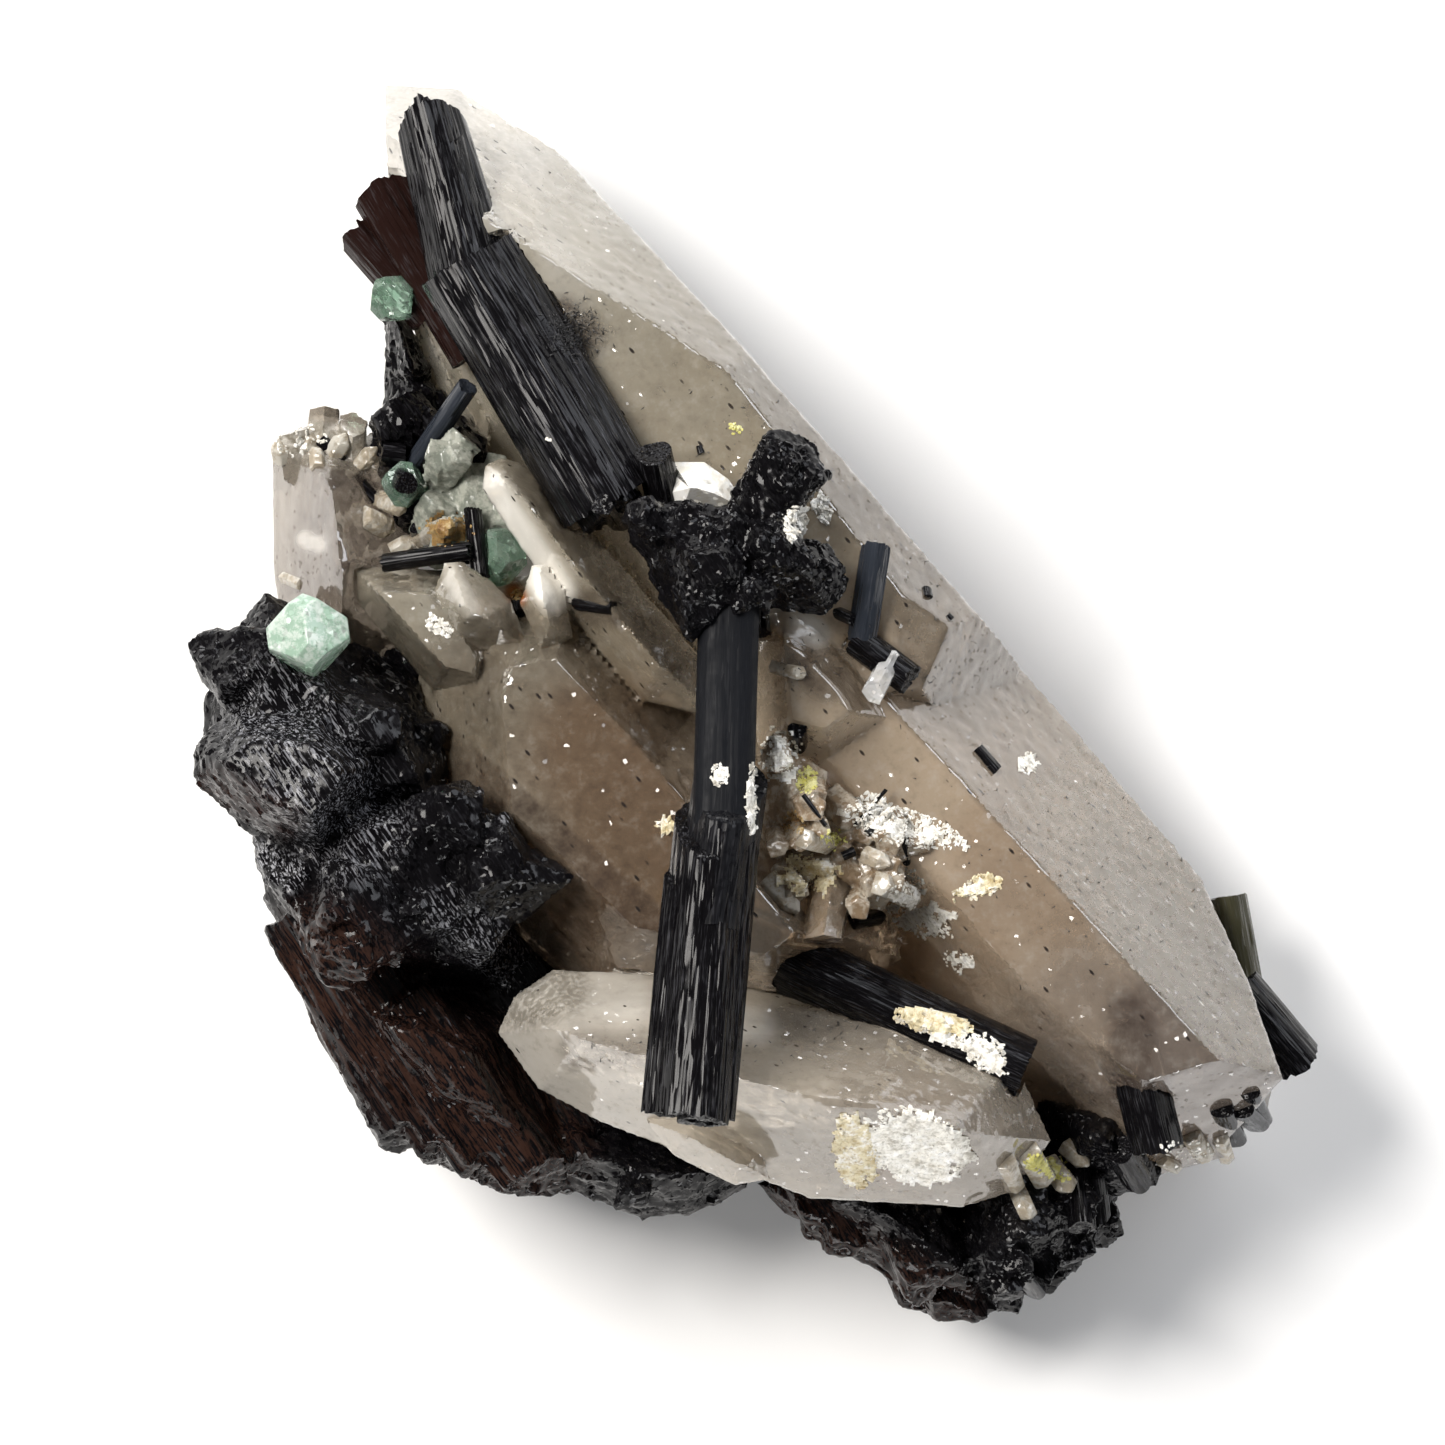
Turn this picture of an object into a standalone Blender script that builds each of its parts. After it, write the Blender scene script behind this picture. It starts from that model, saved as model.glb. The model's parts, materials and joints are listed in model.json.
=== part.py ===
"""Schorl on smoky quartz: a cabinet specimen lying on the back face of its largest crystal.

Run with blender --background --python part.py, or from Blender's text editor.
Sizes below are millimetres. X runs right, Y runs up the specimen and Z comes out of its front.
"""

import math
import random

import bmesh
import bpy
from mathutils import Matrix, Vector

MM = 0.001
GAP = 0.3  # left between two pieces that grew against each other
BLANK = 400.0  # the cube that a faceted crystal is cut from
PRISM_SLOPE = 60.0  # degrees from level of the side faces of a six-sided prism lying on a face

MAIN_THICK = 24.8  # the largest quartz, between its back and front faces
SECOND_TOP = 28.6  # front face of the second quartz
LOWER_TOP = 34.0  # front face of the quartz that lies across the foot
LEFT_TOP = 23.0  # front face of the quartz at the left edge

# Colour and roughness by the start of a piece's name, the closest first.
FINISHES = {
    "schorl_reddish": ((0.030, 0.016, 0.013), 0.30),
    "schorl_olive": ((0.035, 0.034, 0.022), 0.35),
    "schorl_blue": ((0.030, 0.036, 0.046), 0.30),
    "schorl": ((0.012, 0.012, 0.014), 0.35),
    "quartz_main": ((0.42, 0.35, 0.28), 0.15),
    "quartz": ((0.62, 0.57, 0.50), 0.15),
    "fluorite": ((0.50, 0.68, 0.56), 0.20),
    "crust_hollow": ((0.36, 0.36, 0.30), 0.60),
    "crust": ((0.72, 0.68, 0.58), 0.70),
    "white": ((0.86, 0.86, 0.84), 0.10),
    "clear": ((0.86, 0.86, 0.84), 0.10),
}


def cut_crystal(planes, grow):
    """A convex solid cut from a cube by planes, each a point and an outward normal."""
    bm = bmesh.new()
    bmesh.ops.create_cube(bm, size=BLANK)
    for point, normal in planes:
        outward = Vector(normal).normalized()
        cut = bmesh.ops.bisect_plane(
            bm,
            geom=bm.verts[:] + bm.edges[:] + bm.faces[:],
            dist=1e-5,
            plane_co=Vector(point) + outward * grow,
            plane_no=outward,
            clear_outer=True,
        )
        rim = [item for item in cut["geom_cut"] if isinstance(item, bmesh.types.BMEdge)]
        if len(rim) > 2:
            bmesh.ops.contextual_create(bm, geom=rim)
    bmesh.ops.recalc_face_normals(bm, faces=bm.faces)
    return bm


def facets(outline, low, mid, top, up=PRISM_SLOPE, down=PRISM_SLOPE, upright=(), extra=()):
    """A crystal with this widest outline at height mid, its sides leaning in above and below.

    The sides numbered in upright stand straight, and extra holds more faces, each a point and a normal.
    """
    centre = Vector((0.0, 0.0))
    for point in outline:
        centre += Vector(point) / len(outline)
    planes = [((0, 0, low), (0, 0, -1)), ((0, 0, top), (0, 0, 1))]
    for number, (start, end) in enumerate(zip(outline, outline[1:] + outline[:1])):
        side = Vector((end[1] - start[1], start[0] - end[0])).normalized()
        if side.dot(Vector(start) - centre) < 0:
            side = -side
        for slope, turn in ((up, 1), (down, -1)):
            lean = math.radians(90 if number in upright else slope)
            normal = (side.x * math.sin(lean), side.y * math.sin(lean), turn * math.cos(lean))
            planes.append(((start[0], start[1], mid), normal))
    planes.extend(extra)
    return lambda grow: cut_crystal(planes, grow)


def axis_frame(start, end):
    """A matrix whose Z runs from start to end, and whose X faces the front as far as it can."""
    along = (Vector(end) - Vector(start)).normalized()
    front = Vector((0, 0, 1)) if abs(along.z) < 0.95 else Vector((0, 1, 0))
    across = along.cross(front).normalized()
    front = across.cross(along)
    frame = Matrix((front, across, along)).transposed().to_4x4()
    frame.translation = Vector(start)
    return frame


def prism(start, end, width, sides=12, ridge=0.0, taper=1.0, tilt=(0, 0), turn=0.0, seed=1):
    """A schorl prism: a rounded triangle in section, ridged along its length, cut at a tilt."""
    def build(grow):
        rng = random.Random(seed)
        length = (Vector(end) - Vector(start)).length
        bm = bmesh.new()
        ring = bmesh.ops.create_circle(bm, cap_ends=True, segments=sides, radius=1.0)["verts"]
        for index, vert in enumerate(ring):
            angle = math.tau * index / sides
            bulge = 1 + 0.09 * math.cos(3 * (angle - math.radians(turn)))
            radius = width / 2 * bulge - ridge * rng.random() * (index % 2) + grow
            vert.co = (radius * math.cos(angle), radius * math.sin(angle), -width)
        tube = bmesh.ops.extrude_face_region(bm, geom=bm.faces[:])
        far = [item for item in tube["geom"] if isinstance(item, bmesh.types.BMVert)]
        for vert in far:
            vert.co = (vert.co.x * taper, vert.co.y * taper, length + width)
        for height, sign, lean in ((-grow, -1, tilt[0]), (length + grow, 1, tilt[1])):
            slope = math.radians(lean)
            normal = Vector((math.sin(slope), 0.4 * math.sin(slope), sign * math.cos(slope)))
            cut = bmesh.ops.bisect_plane(
                bm,
                geom=bm.verts[:] + bm.edges[:] + bm.faces[:],
                dist=1e-5,
                plane_co=(0, 0, height),
                plane_no=normal,
                clear_outer=True,
            )
            rim = [item for item in cut["geom_cut"] if isinstance(item, bmesh.types.BMEdge)]
            bmesh.ops.contextual_create(bm, geom=rim)
        bmesh.ops.transform(bm, matrix=axis_frame(start, end), verts=bm.verts)
        bmesh.ops.recalc_face_normals(bm, faces=bm.faces)
        return bm
    return build


def splinters(start, end, width, count, reach, seed):
    """Thin parallel columns that stand out of a prism's broken end."""
    rng = random.Random(seed)
    frame = axis_frame(start, end)
    length = (Vector(end) - Vector(start)).length
    found = []
    for index in range(count):
        angle = math.tau * (index + 0.6 * rng.random()) / count
        spread = width * rng.uniform(0.16, 0.30)
        side = Vector((spread * math.cos(angle), spread * math.sin(angle), 0))
        top = length + reach * rng.uniform(0.25, 1.0)
        lower = frame @ (side + Vector((0, 0, length - 0.6 * width)))
        upper = frame @ (side + Vector((0, 0, top)))
        thick = width * rng.uniform(0.26, 0.40)
        end_tilt = (0, rng.uniform(-30, 30))
        found.append(prism(lower, upper, thick, 6, tilt=end_tilt, seed=seed + index))
    return found


def shards(spots, size, seed, cuts=11):
    """Broken lumps around the given spots, each cut by faces that point every way."""
    rng = random.Random(seed)
    found = []
    for spot in spots:
        reach = size * rng.uniform(0.7, 1.2) / 2
        planes = []
        for number in range(cuts):
            level = 1 - 2 * (number + 0.5) / cuts
            angle = number * 2.4 + rng.uniform(-0.5, 0.5)
            round_it = math.sqrt(1 - level * level)
            normal = Vector((round_it * math.cos(angle), round_it * math.sin(angle), level))
            planes.append((Vector(spot) + normal * reach * rng.uniform(0.7, 1.15), normal))
        found.append(lambda grow, planes=planes: cut_crystal(planes, grow))
    return found


def columns(spots, lean, size, seed, sides=6):
    """Stubby crystals around the given spots, near enough parallel to the direction lean."""
    rng = random.Random(seed)
    found = []
    for spot in spots:
        wander = Vector([rng.uniform(-0.35, 0.35) for _ in range(3)])
        along = (Vector(lean).normalized() + wander).normalized()
        half = along * size * rng.uniform(0.5, 0.9)
        place = Vector(spot)
        tilt = (rng.uniform(-30, 30), rng.uniform(-35, 35))
        thick = size * rng.uniform(0.75, 1.25)
        turn = rng.uniform(0, 90)
        seed_here = rng.randrange(999)
        found.append(prism(place - half, place + half, thick, sides, tilt=tilt, turn=turn, seed=seed_here))
    return found


def scattered(outline, height, count, seed):
    """Spots spread evenly over a convex outline, at heights between the two given."""
    rng = random.Random(seed)
    hub = outline[0]
    fan = list(zip(outline[1:-1], outline[2:]))
    areas = [abs((a[0] - hub[0]) * (b[1] - hub[1]) - (b[0] - hub[0]) * (a[1] - hub[1])) for a, b in fan]
    found = []
    for first, second in rng.choices(fan, areas, k=count):
        reach, turn = math.sqrt(rng.random()), rng.random()
        x = hub[0] * (1 - reach) + reach * (first[0] * (1 - turn) + second[0] * turn)
        y = hub[1] * (1 - reach) + reach * (first[1] * (1 - turn) + second[1] * turn)
        found.append((x, y, rng.uniform(*height)))
    return found


def face_through(first, second, third):
    """The plane through three points, with its normal turned to the right of the large crystal."""
    a, b, c = Vector(first), Vector(second), Vector(third)
    normal = (b - a).cross(c - a)
    return (first, normal if normal.x + normal.y > 0 else -normal)


def main_quartz():
    """The large smoky crystal and the parallel ones that share its body."""
    top, waist = MAIN_THICK, MAIN_THICK / 2
    right_face = face_through((15.3, -6.2, top), (35.3, -27.8, top), (33.0, -13.6, waist))
    back_face = face_through((-3.0, 18.0, 0.0), (20.0, -11.0, 0.0), (31.6, -11.6, waist))
    foot_half = facets(
        [(-26.8, 44.7), (-21.6, 44.5), (-14.1, 39.8), (-1.2, 25.9), (31.6, -11.6), (35.2, -19.8),
         (37.5, -26.6), (32.3, -32.7), (25.9, -34.5), (14.5, -25.2), (-8.4, 0.5), (-23.0, 23.7),
         (-26.2, 31.0)],
        0.0, waist, top, upright=(2, 3, 4, 5, 6, 12), extra=[right_face, back_face])
    upper_right = face_through((-6.9, 29.9, top), (7.1, 12.0, top), (9.4, 13.8, top - 4.5))
    step = face_through((10.2, 8.1, top), (7.8, -6.6, top), (27.0, -6.7, top - 9.8))
    tip_half = facets(
        [(-26.8, 44.7), (-21.6, 44.5), (-14.1, 39.8), (-1.2, 25.9), (19.0, 2.8), (16.5, -4.5),
         (8.0, -6.0), (-8.0, 3.0), (-23.0, 23.7), (-26.2, 31.0)],
        0.0, waist, top, upright=(2, 3, 9), extra=[upper_right, step, back_face])
    second = facets(
        [(-11.2, 10.5), (-4.1, 2.0), (9.4, -12.0), (10.4, -18.0), (2.0, -24.4), (-11.5, -21.6),
         (-23.6, -10.4), (-24.6, 1.2), (-22.3, 8.4)],
        6.0, 17.5, SECOND_TOP)
    bright_tip = facets(
        [(-19.6, 15.5), (-19.4, 17.2), (-18.2, 17.7), (-16.8, 17.3), (-15.0, 16.2), (-4.1, 3.7),
         (-2.7, -0.9), (-8.4, 0.5), (-14.6, 8.0)],
        10.2, 25.2, 31.4, down=81)
    block = facets(
        [(-29.0, 10.0), (-22.3, 9.8), (-18.0, 4.0), (-19.5, -3.0), (-23.2, 1.2), (-25.5, 1.8),
         (-28.2, 3.8)],
        9.0, 20.0, 26.4, up=74)
    broken_tooth = facets(
        [(-22.3, 10.3), (-21.0, 10.4), (-19.1, 9.1), (-17.4, 7.5), (-16.2, 4.1), (-22.0, 4.1),
         (-23.4, 7.0)],
        16.0, 25.0, 30.2, up=56)
    small_tooth = facets(
        [(-16.9, 7.4), (-16.0, 10.1), (-15.2, 10.2), (-13.8, 8.4), (-13.0, 4.8), (-15.5, 4.1)],
        18.0, 27.0, 31.0, up=56)
    side_tip = facets(
        [(0.6, 7.5), (2.4, 7.5), (4.9, 5.8), (7.6, 3.0), (10.2, -0.9), (5.2, -4.5), (0.0, -3.0),
         (-1.0, 5.0)],
        14.0, 23.5, 28.2)
    hollow_side = facets(
        [(-25.2, 28.8), (-23.4, 28.4), (-20.0, 23.2), (-18.5, 20.6), (-19.2, 19.0), (-20.9, 18.7),
         (-23.4, 22.8)],
        6.7, 13.6, 19.4, up=66)
    inner_foot = facets(
        [(-0.6, -12.0), (1.0, -12.4), (3.4, -17.0), (2.0, -17.6), (-0.2, -15.6)], 16.0, 24.0, 28.4)
    foot_tip = prism((5.6, -11.0, 23.5), (4.6, -16.6, 28.6), 3.2, 6, tilt=(0, -30), seed=5)
    broken_end = facets(
        [(28.6, -30.0), (33.8, -30.0), (33.6, -32.4), (30.4, -33.2), (27.6, -33.0)], 6.0, 13.0, 19.5)
    end_corner = facets([(33.0, -27.6), (37.3, -26.6), (36.6, -29.6), (33.4, -31.2)], 5.0, 11.0, 17.0)
    return [foot_half, tip_half, second, bright_tip, block, broken_tooth, small_tooth, side_tip,
            hollow_side, inner_foot, foot_tip, broken_end, end_corner]


def left_quartz():
    outline = [(-34.8, 18.4), (-33.8, 19.8), (-31.4, 20.5), (-29.0, 19.9), (-26.6, 18.2), (-24.1, 10.5),
               (-25.5, 4.0), (-30.5, 0.8), (-34.0, 4.4), (-34.8, 10.5)]
    sloping_front = ((-30.0, 12.0, LEFT_TOP - 0.6), (0.5, 0.22, 1))
    body = facets(outline, 4.0, 14.0, LEFT_TOP, extra=[sloping_front])
    crown = columns([(-33.0, 18.2, 16.6), (-31.2, 19.0, 16.0), (-29.0, 18.6, 16.4), (-27.2, 16.8, 15.0)],
                    (-0.2, 1, 0.2), 3.0, 12)
    return [body] + crown


def lower_quartz():
    outline = [(-18.5, -23.2), (-17.4, -20.6), (-14.6, -18.7), (-4.5, -19.2), (10.2, -21.4), (18.4, -25.2),
               (20.9, -30.9), (18.0, -34.6), (14.5, -35.6), (3.8, -35.0), (-11.6, -29.4), (-15.6, -27.2)]
    left_end = ((-12.0, -23.0, LOWER_TOP - 1.2), (-0.35, 0.3, 1))
    upper_side = ((-4.0, -22.6, LOWER_TOP), (0.02, 0.42, 1))
    body = facets(outline, 12.0, 23.0, LOWER_TOP, up=58, extra=[left_end, upper_side])
    chip = facets(
        [(-8.0, -29.4), (-4.6, -28.6), (0.2, -31.6), (1.0, -33.6), (-1.6, -34.0), (-6.0, -31.8)],
        20.0, 25.5, 29.0)
    return [body, chip]


def upper_schorl():
    """The prism on the large crystal, broad below a ledge and slim above it."""
    ledge, foot = (-20.9, 31.9, 23.6), (-10.6, 14.4, 27.2)
    root, tip = (-20.0, 29.0, 23.6), (-23.3, 41.6, 21.6)
    lower = prism(ledge, foot, 7.3, 24, ridge=0.35, tilt=(-10, 12), turn=20, seed=3)
    upper = prism(root, tip, 5.7, 20, ridge=0.3, taper=0.78, tilt=(0, 24), seed=8)
    second_ledge = prism((-18.6, 26.4, 25.6), (-10.2, 13.6, 28.2), 4.4, 12, ridge=0.2, seed=6)
    return [lower, upper, second_ledge] + splinters(root, tip, 4.6, 5, 1.6, 17)


def reddish_schorl():
    body = prism((-26.7, 36.4, 18.6), (-20.0, 25.2, 18.2), 4.0, 12, ridge=0.2, tilt=(35, 0), turn=40,
                 seed=21)
    spur = prism((-28.6, 33.9, 18.2), (-23.4, 27.9, 18.0), 2.7, 10, ridge=0.1, tilt=(25, 0), seed=22)
    return [body, spur]


def front_schorl():
    """The long prism across the front: a slim upper run that steps out to a broad, ridged lower one."""
    knee, foot = (-3.0, -8.4, 34.2), (-4.8, -28.9, 38.0)
    upper = prism((-2.0, 8.6, 32.2), (-2.6, -13.0, 34.8), 4.3, 20, ridge=0.15, turn=60, seed=41)
    lower = prism(knee, foot, 6.3, 24, ridge=0.4, tilt=(-42, 8), turn=15, seed=42)
    shoulder = prism((-2.0, -5.6, 33.6), (-3.4, -16.0, 36.0), 4.6, 12, ridge=0.2, tilt=(-50, 0), seed=43)
    return [upper, lower, shoulder] + splinters(knee, foot, 6.0, 5, 0.9, 44)


def knot_schorl():
    """The lump that the long prism grows from, with a short prism that leans up and right."""
    left = facets(
        [(-9.4, 14.1), (-8.4, 15.0), (-6.6, 14.8), (-5.0, 12.8), (-5.4, 10.2), (-7.7, 9.9), (-9.1, 11.6)],
        24.0, 29.0, 34.0, up=62)
    centre = facets(
        [(-5.6, 13.9), (-1.3, 13.9), (0.9, 11.5), (1.2, 7.7), (-2.0, 5.4), (-5.3, 5.2), (-8.0, 9.8),
         (-7.3, 12.3)],
        23.0, 30.0, 36.6, up=64)
    right = facets(
        [(-1.2, 11.0), (1.7, 11.8), (4.1, 12.0), (5.3, 11.0), (6.5, 10.0), (6.3, 8.5), (4.8, 6.3),
         (-0.9, 7.4)],
        23.5, 28.5, 34.4, up=60)
    root, tip = (-0.6, 11.8, 29.0), (2.6, 17.8, 31.0)
    arm = prism(root, tip, 4.9, 14, ridge=0.2, tilt=(0, 22), turn=30, seed=51)
    stub = prism((2.6, 15.0, 30.0), (4.2, 17.0, 31.5), 2.4, 6, seed=54)
    top = [(-8.5, 13.5), (-1.5, 12.5), (5.0, 10.5), (4.0, 7.5), (-5.0, 6.5)]
    lumps = shards(scattered(top, (31.0, 34.0), 14, 52), 3.8, 53)
    return [left, centre, right, arm, stub] + splinters(root, tip, 4.2, 4, 1.0, 55) + lumps


def left_schorl():
    """The broken mass at the left edge, from the rough top down to the ribbed foot."""
    upper = facets(
        [(-35.2, 8.4), (-38.0, 4.8), (-39.6, 0.5), (-39.8, -5.2), (-32.7, -10.9), (-20.4, -8.6),
         (-20.4, -3.0), (-24.0, 2.0), (-28.4, 4.6)],
        3.0, 18.0, 27.0, up=66)
    lump = facets(
        [(-40.2, -2.7), (-37.0, 0.2), (-30.5, 0.5), (-25.9, -3.4), (-26.6, -6.6), (-30.2, -11.3),
         (-32.7, -10.9), (-36.2, -9.1), (-40.1, -5.3)],
        12.0, 24.0, 34.0, up=72, extra=[((-33.0, -5.0, 33.2), (-0.25, 0.15, 1))])
    middle = facets(
        [(-36.4, -9.3), (-33.0, -3.0), (-25.5, -1.6), (-19.8, -3.9), (-15.2, -10.2), (-14.5, -18.0),
         (-17.0, -21.6), (-24.7, -22.6), (-32.7, -19.2), (-35.4, -13.8)],
        0.0, 12.0, 30.0, up=70)
    lower = facets(
        [(-33.6, -18.4), (-22.7, -17.0), (-16.5, -20.6), (-12.6, -28.0), (-11.2, -31.0), (-11.4, -34.6),
         (-16.2, -35.3), (-20.5, -34.2), (-25.5, -31.4), (-29.5, -27.2), (-32.0, -23.0)],
        0.0, 12.0, 26.0, up=68, extra=[((-24.0, -26.0, 25.0), (-0.5, -0.4, 1))])
    foot = facets(
        [(-15.2, -28.0), (-1.2, -31.3), (-0.5, -34.5), (-4.8, -36.5), (-8.4, -36.8), (-14.1, -34.5),
         (-16.2, -31.6)],
        3.0, 13.0, 22.0, up=64)
    root = facets(
        [(-33.0, -2.0), (-28.0, 7.0), (-21.0, 6.6), (-9.0, -8.0), (-1.0, -20.0), (2.0, -30.0),
         (-6.0, -34.5), (-18.0, -32.0), (-31.0, -18.0)],
        1.6, 9.0, 17.0, up=68, down=66)
    ribs = []
    for step in range(4):
        start = (-33.2 + 2.6 * step, -14.6 - 2.1 * step, 18.4 + 1.0 * step)
        end = (-24.6 + 3.0 * step, -30.6 - 1.0 * step, 19.4 + 0.6 * step)
        ribs.append(prism(start, end, 5.2, 10, ridge=0.3, tilt=(0, 24), turn=25 * step, seed=61 + step))
    rough_top = [(-37.4, 3.6), (-33.4, 6.2), (-26.4, 1.2), (-24.0, -4.0), (-34.0, -8.0)]
    broken_front = [(-33.0, -10.5), (-25.0, -4.5), (-18.8, -7.5), (-16.6, -17.0), (-30.0, -17.0)]
    foot_edge = [(-19.0, -31.5), (-11.5, -31.0), (-4.0, -33.6), (-8.0, -34.4), (-15.0, -33.0)]
    rough = shards(scattered(rough_top, (19.0, 27.0), 13, 66), 6.0, 67)
    steps = shards(scattered(broken_front, (24.5, 29.0), 15, 68), 6.0, 69)
    chips = shards(scattered(foot_edge, (8.0, 20.0), 7, 70), 4.2, 71)
    return [upper, lump, middle, lower, foot, root] + ribs + rough + steps + chips


def lower_right_schorl():
    """The columnar mass below the foot of the large crystal, and its root behind the lower quartz."""
    root = facets(
        [(0.0, -22.5), (17.5, -25.0), (25.5, -33.0), (17.5, -38.5), (3.0, -35.4), (-2.0, -31.0)],
        3.0, 10.0, 20.0)
    beam = facets(
        [(-0.2, -34.3), (10.2, -31.6), (18.0, -38.0), (16.4, -43.6), (11.4, -42.4), (6.6, -39.6),
         (2.3, -36.6)],
        0.0, 9.0, 19.5, up=66)
    right = facets(
        [(13.0, -33.8), (20.9, -30.9), (24.8, -32.3), (26.0, -34.5), (25.5, -37.3), (23.0, -40.6),
         (18.4, -42.6), (13.8, -40.9)],
        0.0, 11.0, 22.5, up=66)
    far = facets(
        [(19.2, -27.0), (27.0, -27.0), (29.2, -31.0), (28.8, -34.4), (25.9, -35.2), (21.0, -34.0)],
        4.0, 14.0, 22.0, up=64)
    right_top = [(14.5, -35.5), (20.4, -32.5), (24.6, -34.5), (22.0, -39.0), (15.4, -40.6)]
    beam_top = [(1.8, -35.0), (10.0, -33.5), (16.5, -38.5), (12.0, -40.6), (6.0, -38.0)]
    lowest = [(11.4, -41.6, 8.0), (14.4, -42.4, 9.5), (17.4, -41.8, 9.0), (20.6, -40.4, 11.0)]
    stubby = columns(scattered(right_top, (9.0, 21.0), 13, 81), (0.35, -0.9, 0.35), 3.4, 82)
    broken = shards(scattered(beam_top, (10.0, 18.0), 9, 83), 4.4, 84)
    edge = shards(lowest, 4.2, 85)
    return [root, beam, right, far] + stubby + broken + edge


def hollow_schorl():
    """Rough schorl at the back of the hollow between the upper, left and second quartz."""
    body = facets(
        [(-27.2, 27.9), (-25.0, 28.4), (-22.4, 23.6), (-18.6, 21.0), (-14.5, 16.0), (-17.0, 11.4),
         (-25.4, 10.8), (-27.4, 15.0), (-27.0, 22.0)],
        5.0, 12.0, 18.0, up=64)
    blade = facets(
        [(-27.0, 28.6), (-25.3, 28.8), (-23.0, 24.0), (-24.2, 22.4), (-26.2, 23.4)], 8.0, 14.0, 19.4, up=76)
    spots = scattered(
        [(-25.8, 24.0), (-24.0, 22.4), (-20.5, 18.0), (-18.0, 13.5), (-24.4, 12.4), (-26.2, 19.0)],
        (14.0, 19.5), 12, 91)
    return [body, blade] + shards(spots, 4.0, 92)


def druse(beds, spots, size, lean, seed):
    """A crust: thin overlapping beds, each an outline with two levels, and small crystals on them."""
    found = []
    for number, (outline, base, top) in enumerate(beds):
        found.append(facets(outline, base, (base + top) / 2, top, up=48, down=70))
        places = scattered(outline, (top - 0.6, top + 0.3), spots, seed + number)
        found += columns(places, lean, size, seed + 10 + number, sides=5)
    return found


def hollow_crust():
    beds = [
        ([(-26.2, 19.4), (-22.4, 20.2), (-20.0, 16.2), (-21.6, 12.6), (-24.8, 12.4), (-26.4, 14.0)],
         17.0, 20.4),
        ([(-22.8, 19.0), (-18.0, 18.0), (-16.6, 15.0), (-17.6, 11.4), (-22.6, 11.2)], 17.6, 21.8)]
    return druse(beds, 7, 2.4, (0.3, 0.6, 0.8), 135)


def front_crust():
    beds = [
        ([(-0.3, -4.0), (1.8, -2.6), (5.0, -4.6), (4.4, -9.4), (1.0, -10.6), (-0.2, -8.6)], 24.0, 29.4),
        ([(3.4, -5.6), (6.4, -6.0), (12.8, -9.4), (12.4, -10.6), (7.6, -11.6), (3.8, -10.0)], 23.4, 26.3),
        ([(0.8, -9.6), (7.2, -9.0), (10.4, -12.4), (8.4, -15.2), (5.4, -13.8), (1.6, -13.0)], 23.0, 27.0)]
    return druse(beds, 7, 1.9, (0.2, -0.4, 0.9), 141)


def fluorite(centre, size, seed):
    """A small octahedron with its corners cut off."""
    rng = random.Random(seed)
    turn = Matrix.Rotation(rng.uniform(0, 1.5), 3, "Z") @ Matrix.Rotation(rng.uniform(0.2, 0.8), 3, "X")
    normals = [(Vector((x, y, z)).normalized(), 0.44) for x in (-1, 1) for y in (-1, 1) for z in (-1, 1)]
    for axis in range(3):
        for sign in (-1, 1):
            corner = Vector((0, 0, 0))
            corner[axis] = sign
            normals.append((corner, 0.56))
    planes = [(Vector(centre) + turn @ normal * size * share, turn @ normal) for normal, share in normals]
    return [lambda grow: cut_crystal(planes, grow)]


def single_prisms():
    """The small schorl and clear prisms that stand alone."""
    return {
        "schorl_stub": prism((-7.4, 18.0, 29.4), (-6.6, 14.6, 26.5), 2.1, 6, seed=101),
        "schorl_diagonal": prism((-1.5, -16.4, 23.6), (19.0, -26.0, 23.4), 4.2, 14, ridge=0.25, tilt=(25, 0),
                                 seed=102),
        "schorl_olive": prism((33.8, -13.6, 9.6), (35.4, -22.6, 9.6), 2.3, 10, ridge=0.15, seed=103),
        "schorl_end": prism((34.4, -20.2, 12.6), (38.9, -25.6, 12.2), 3.4, 12, ridge=0.2, tilt=(0, 18),
                            seed=104),
        "schorl_blue": prism((8.4, 11.4, 27.0), (7.4, 4.6, 25.4), 2.1, 10, ridge=0.12, tilt=(25, 0),
                             seed=105),
        "schorl_short": prism((6.9, 4.9, 25.4), (10.9, 1.9, 25.4), 1.9, 8, tilt=(10, -15), seed=106),
        "schorl_rod": prism((-26.8, 10.25, 22.6), (-20.3, 11.15, 24.6), 1.3, 8, seed=107),
        "schorl_slim": prism((-24.6, 17.2, 19.2), (-20.6, 22.9, 23.6), 1.7, 8, ridge=0.1, seed=108),
        "schorl_needle": prism((-20.3, 14.0, 22.6), (-19.7, 9.2, 24.0), 1.3, 6, seed=109),
        "schorl_base": prism((28.6, -31.6, 21.6), (26.6, -23.8, 21.4), 3.3, 10, ridge=0.15, tilt=(12, 40),
                             seed=110),
        "clear_chip": prism((9.6, 3.6, 25.6), (8.2, 1.0, 27.4), 1.7, 6, tilt=(0, 25), seed=111),
    }


def white_crystal():
    return [facets(
        [(-6.1, 17.4), (-3.8, 17.4), (-2.1, 16.2), (-1.1, 14.8), (-1.1, 13.8), (-5.5, 13.6), (-7.0, 15.0)],
        22.0, 27.0, 30.6, up=58)]


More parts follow.
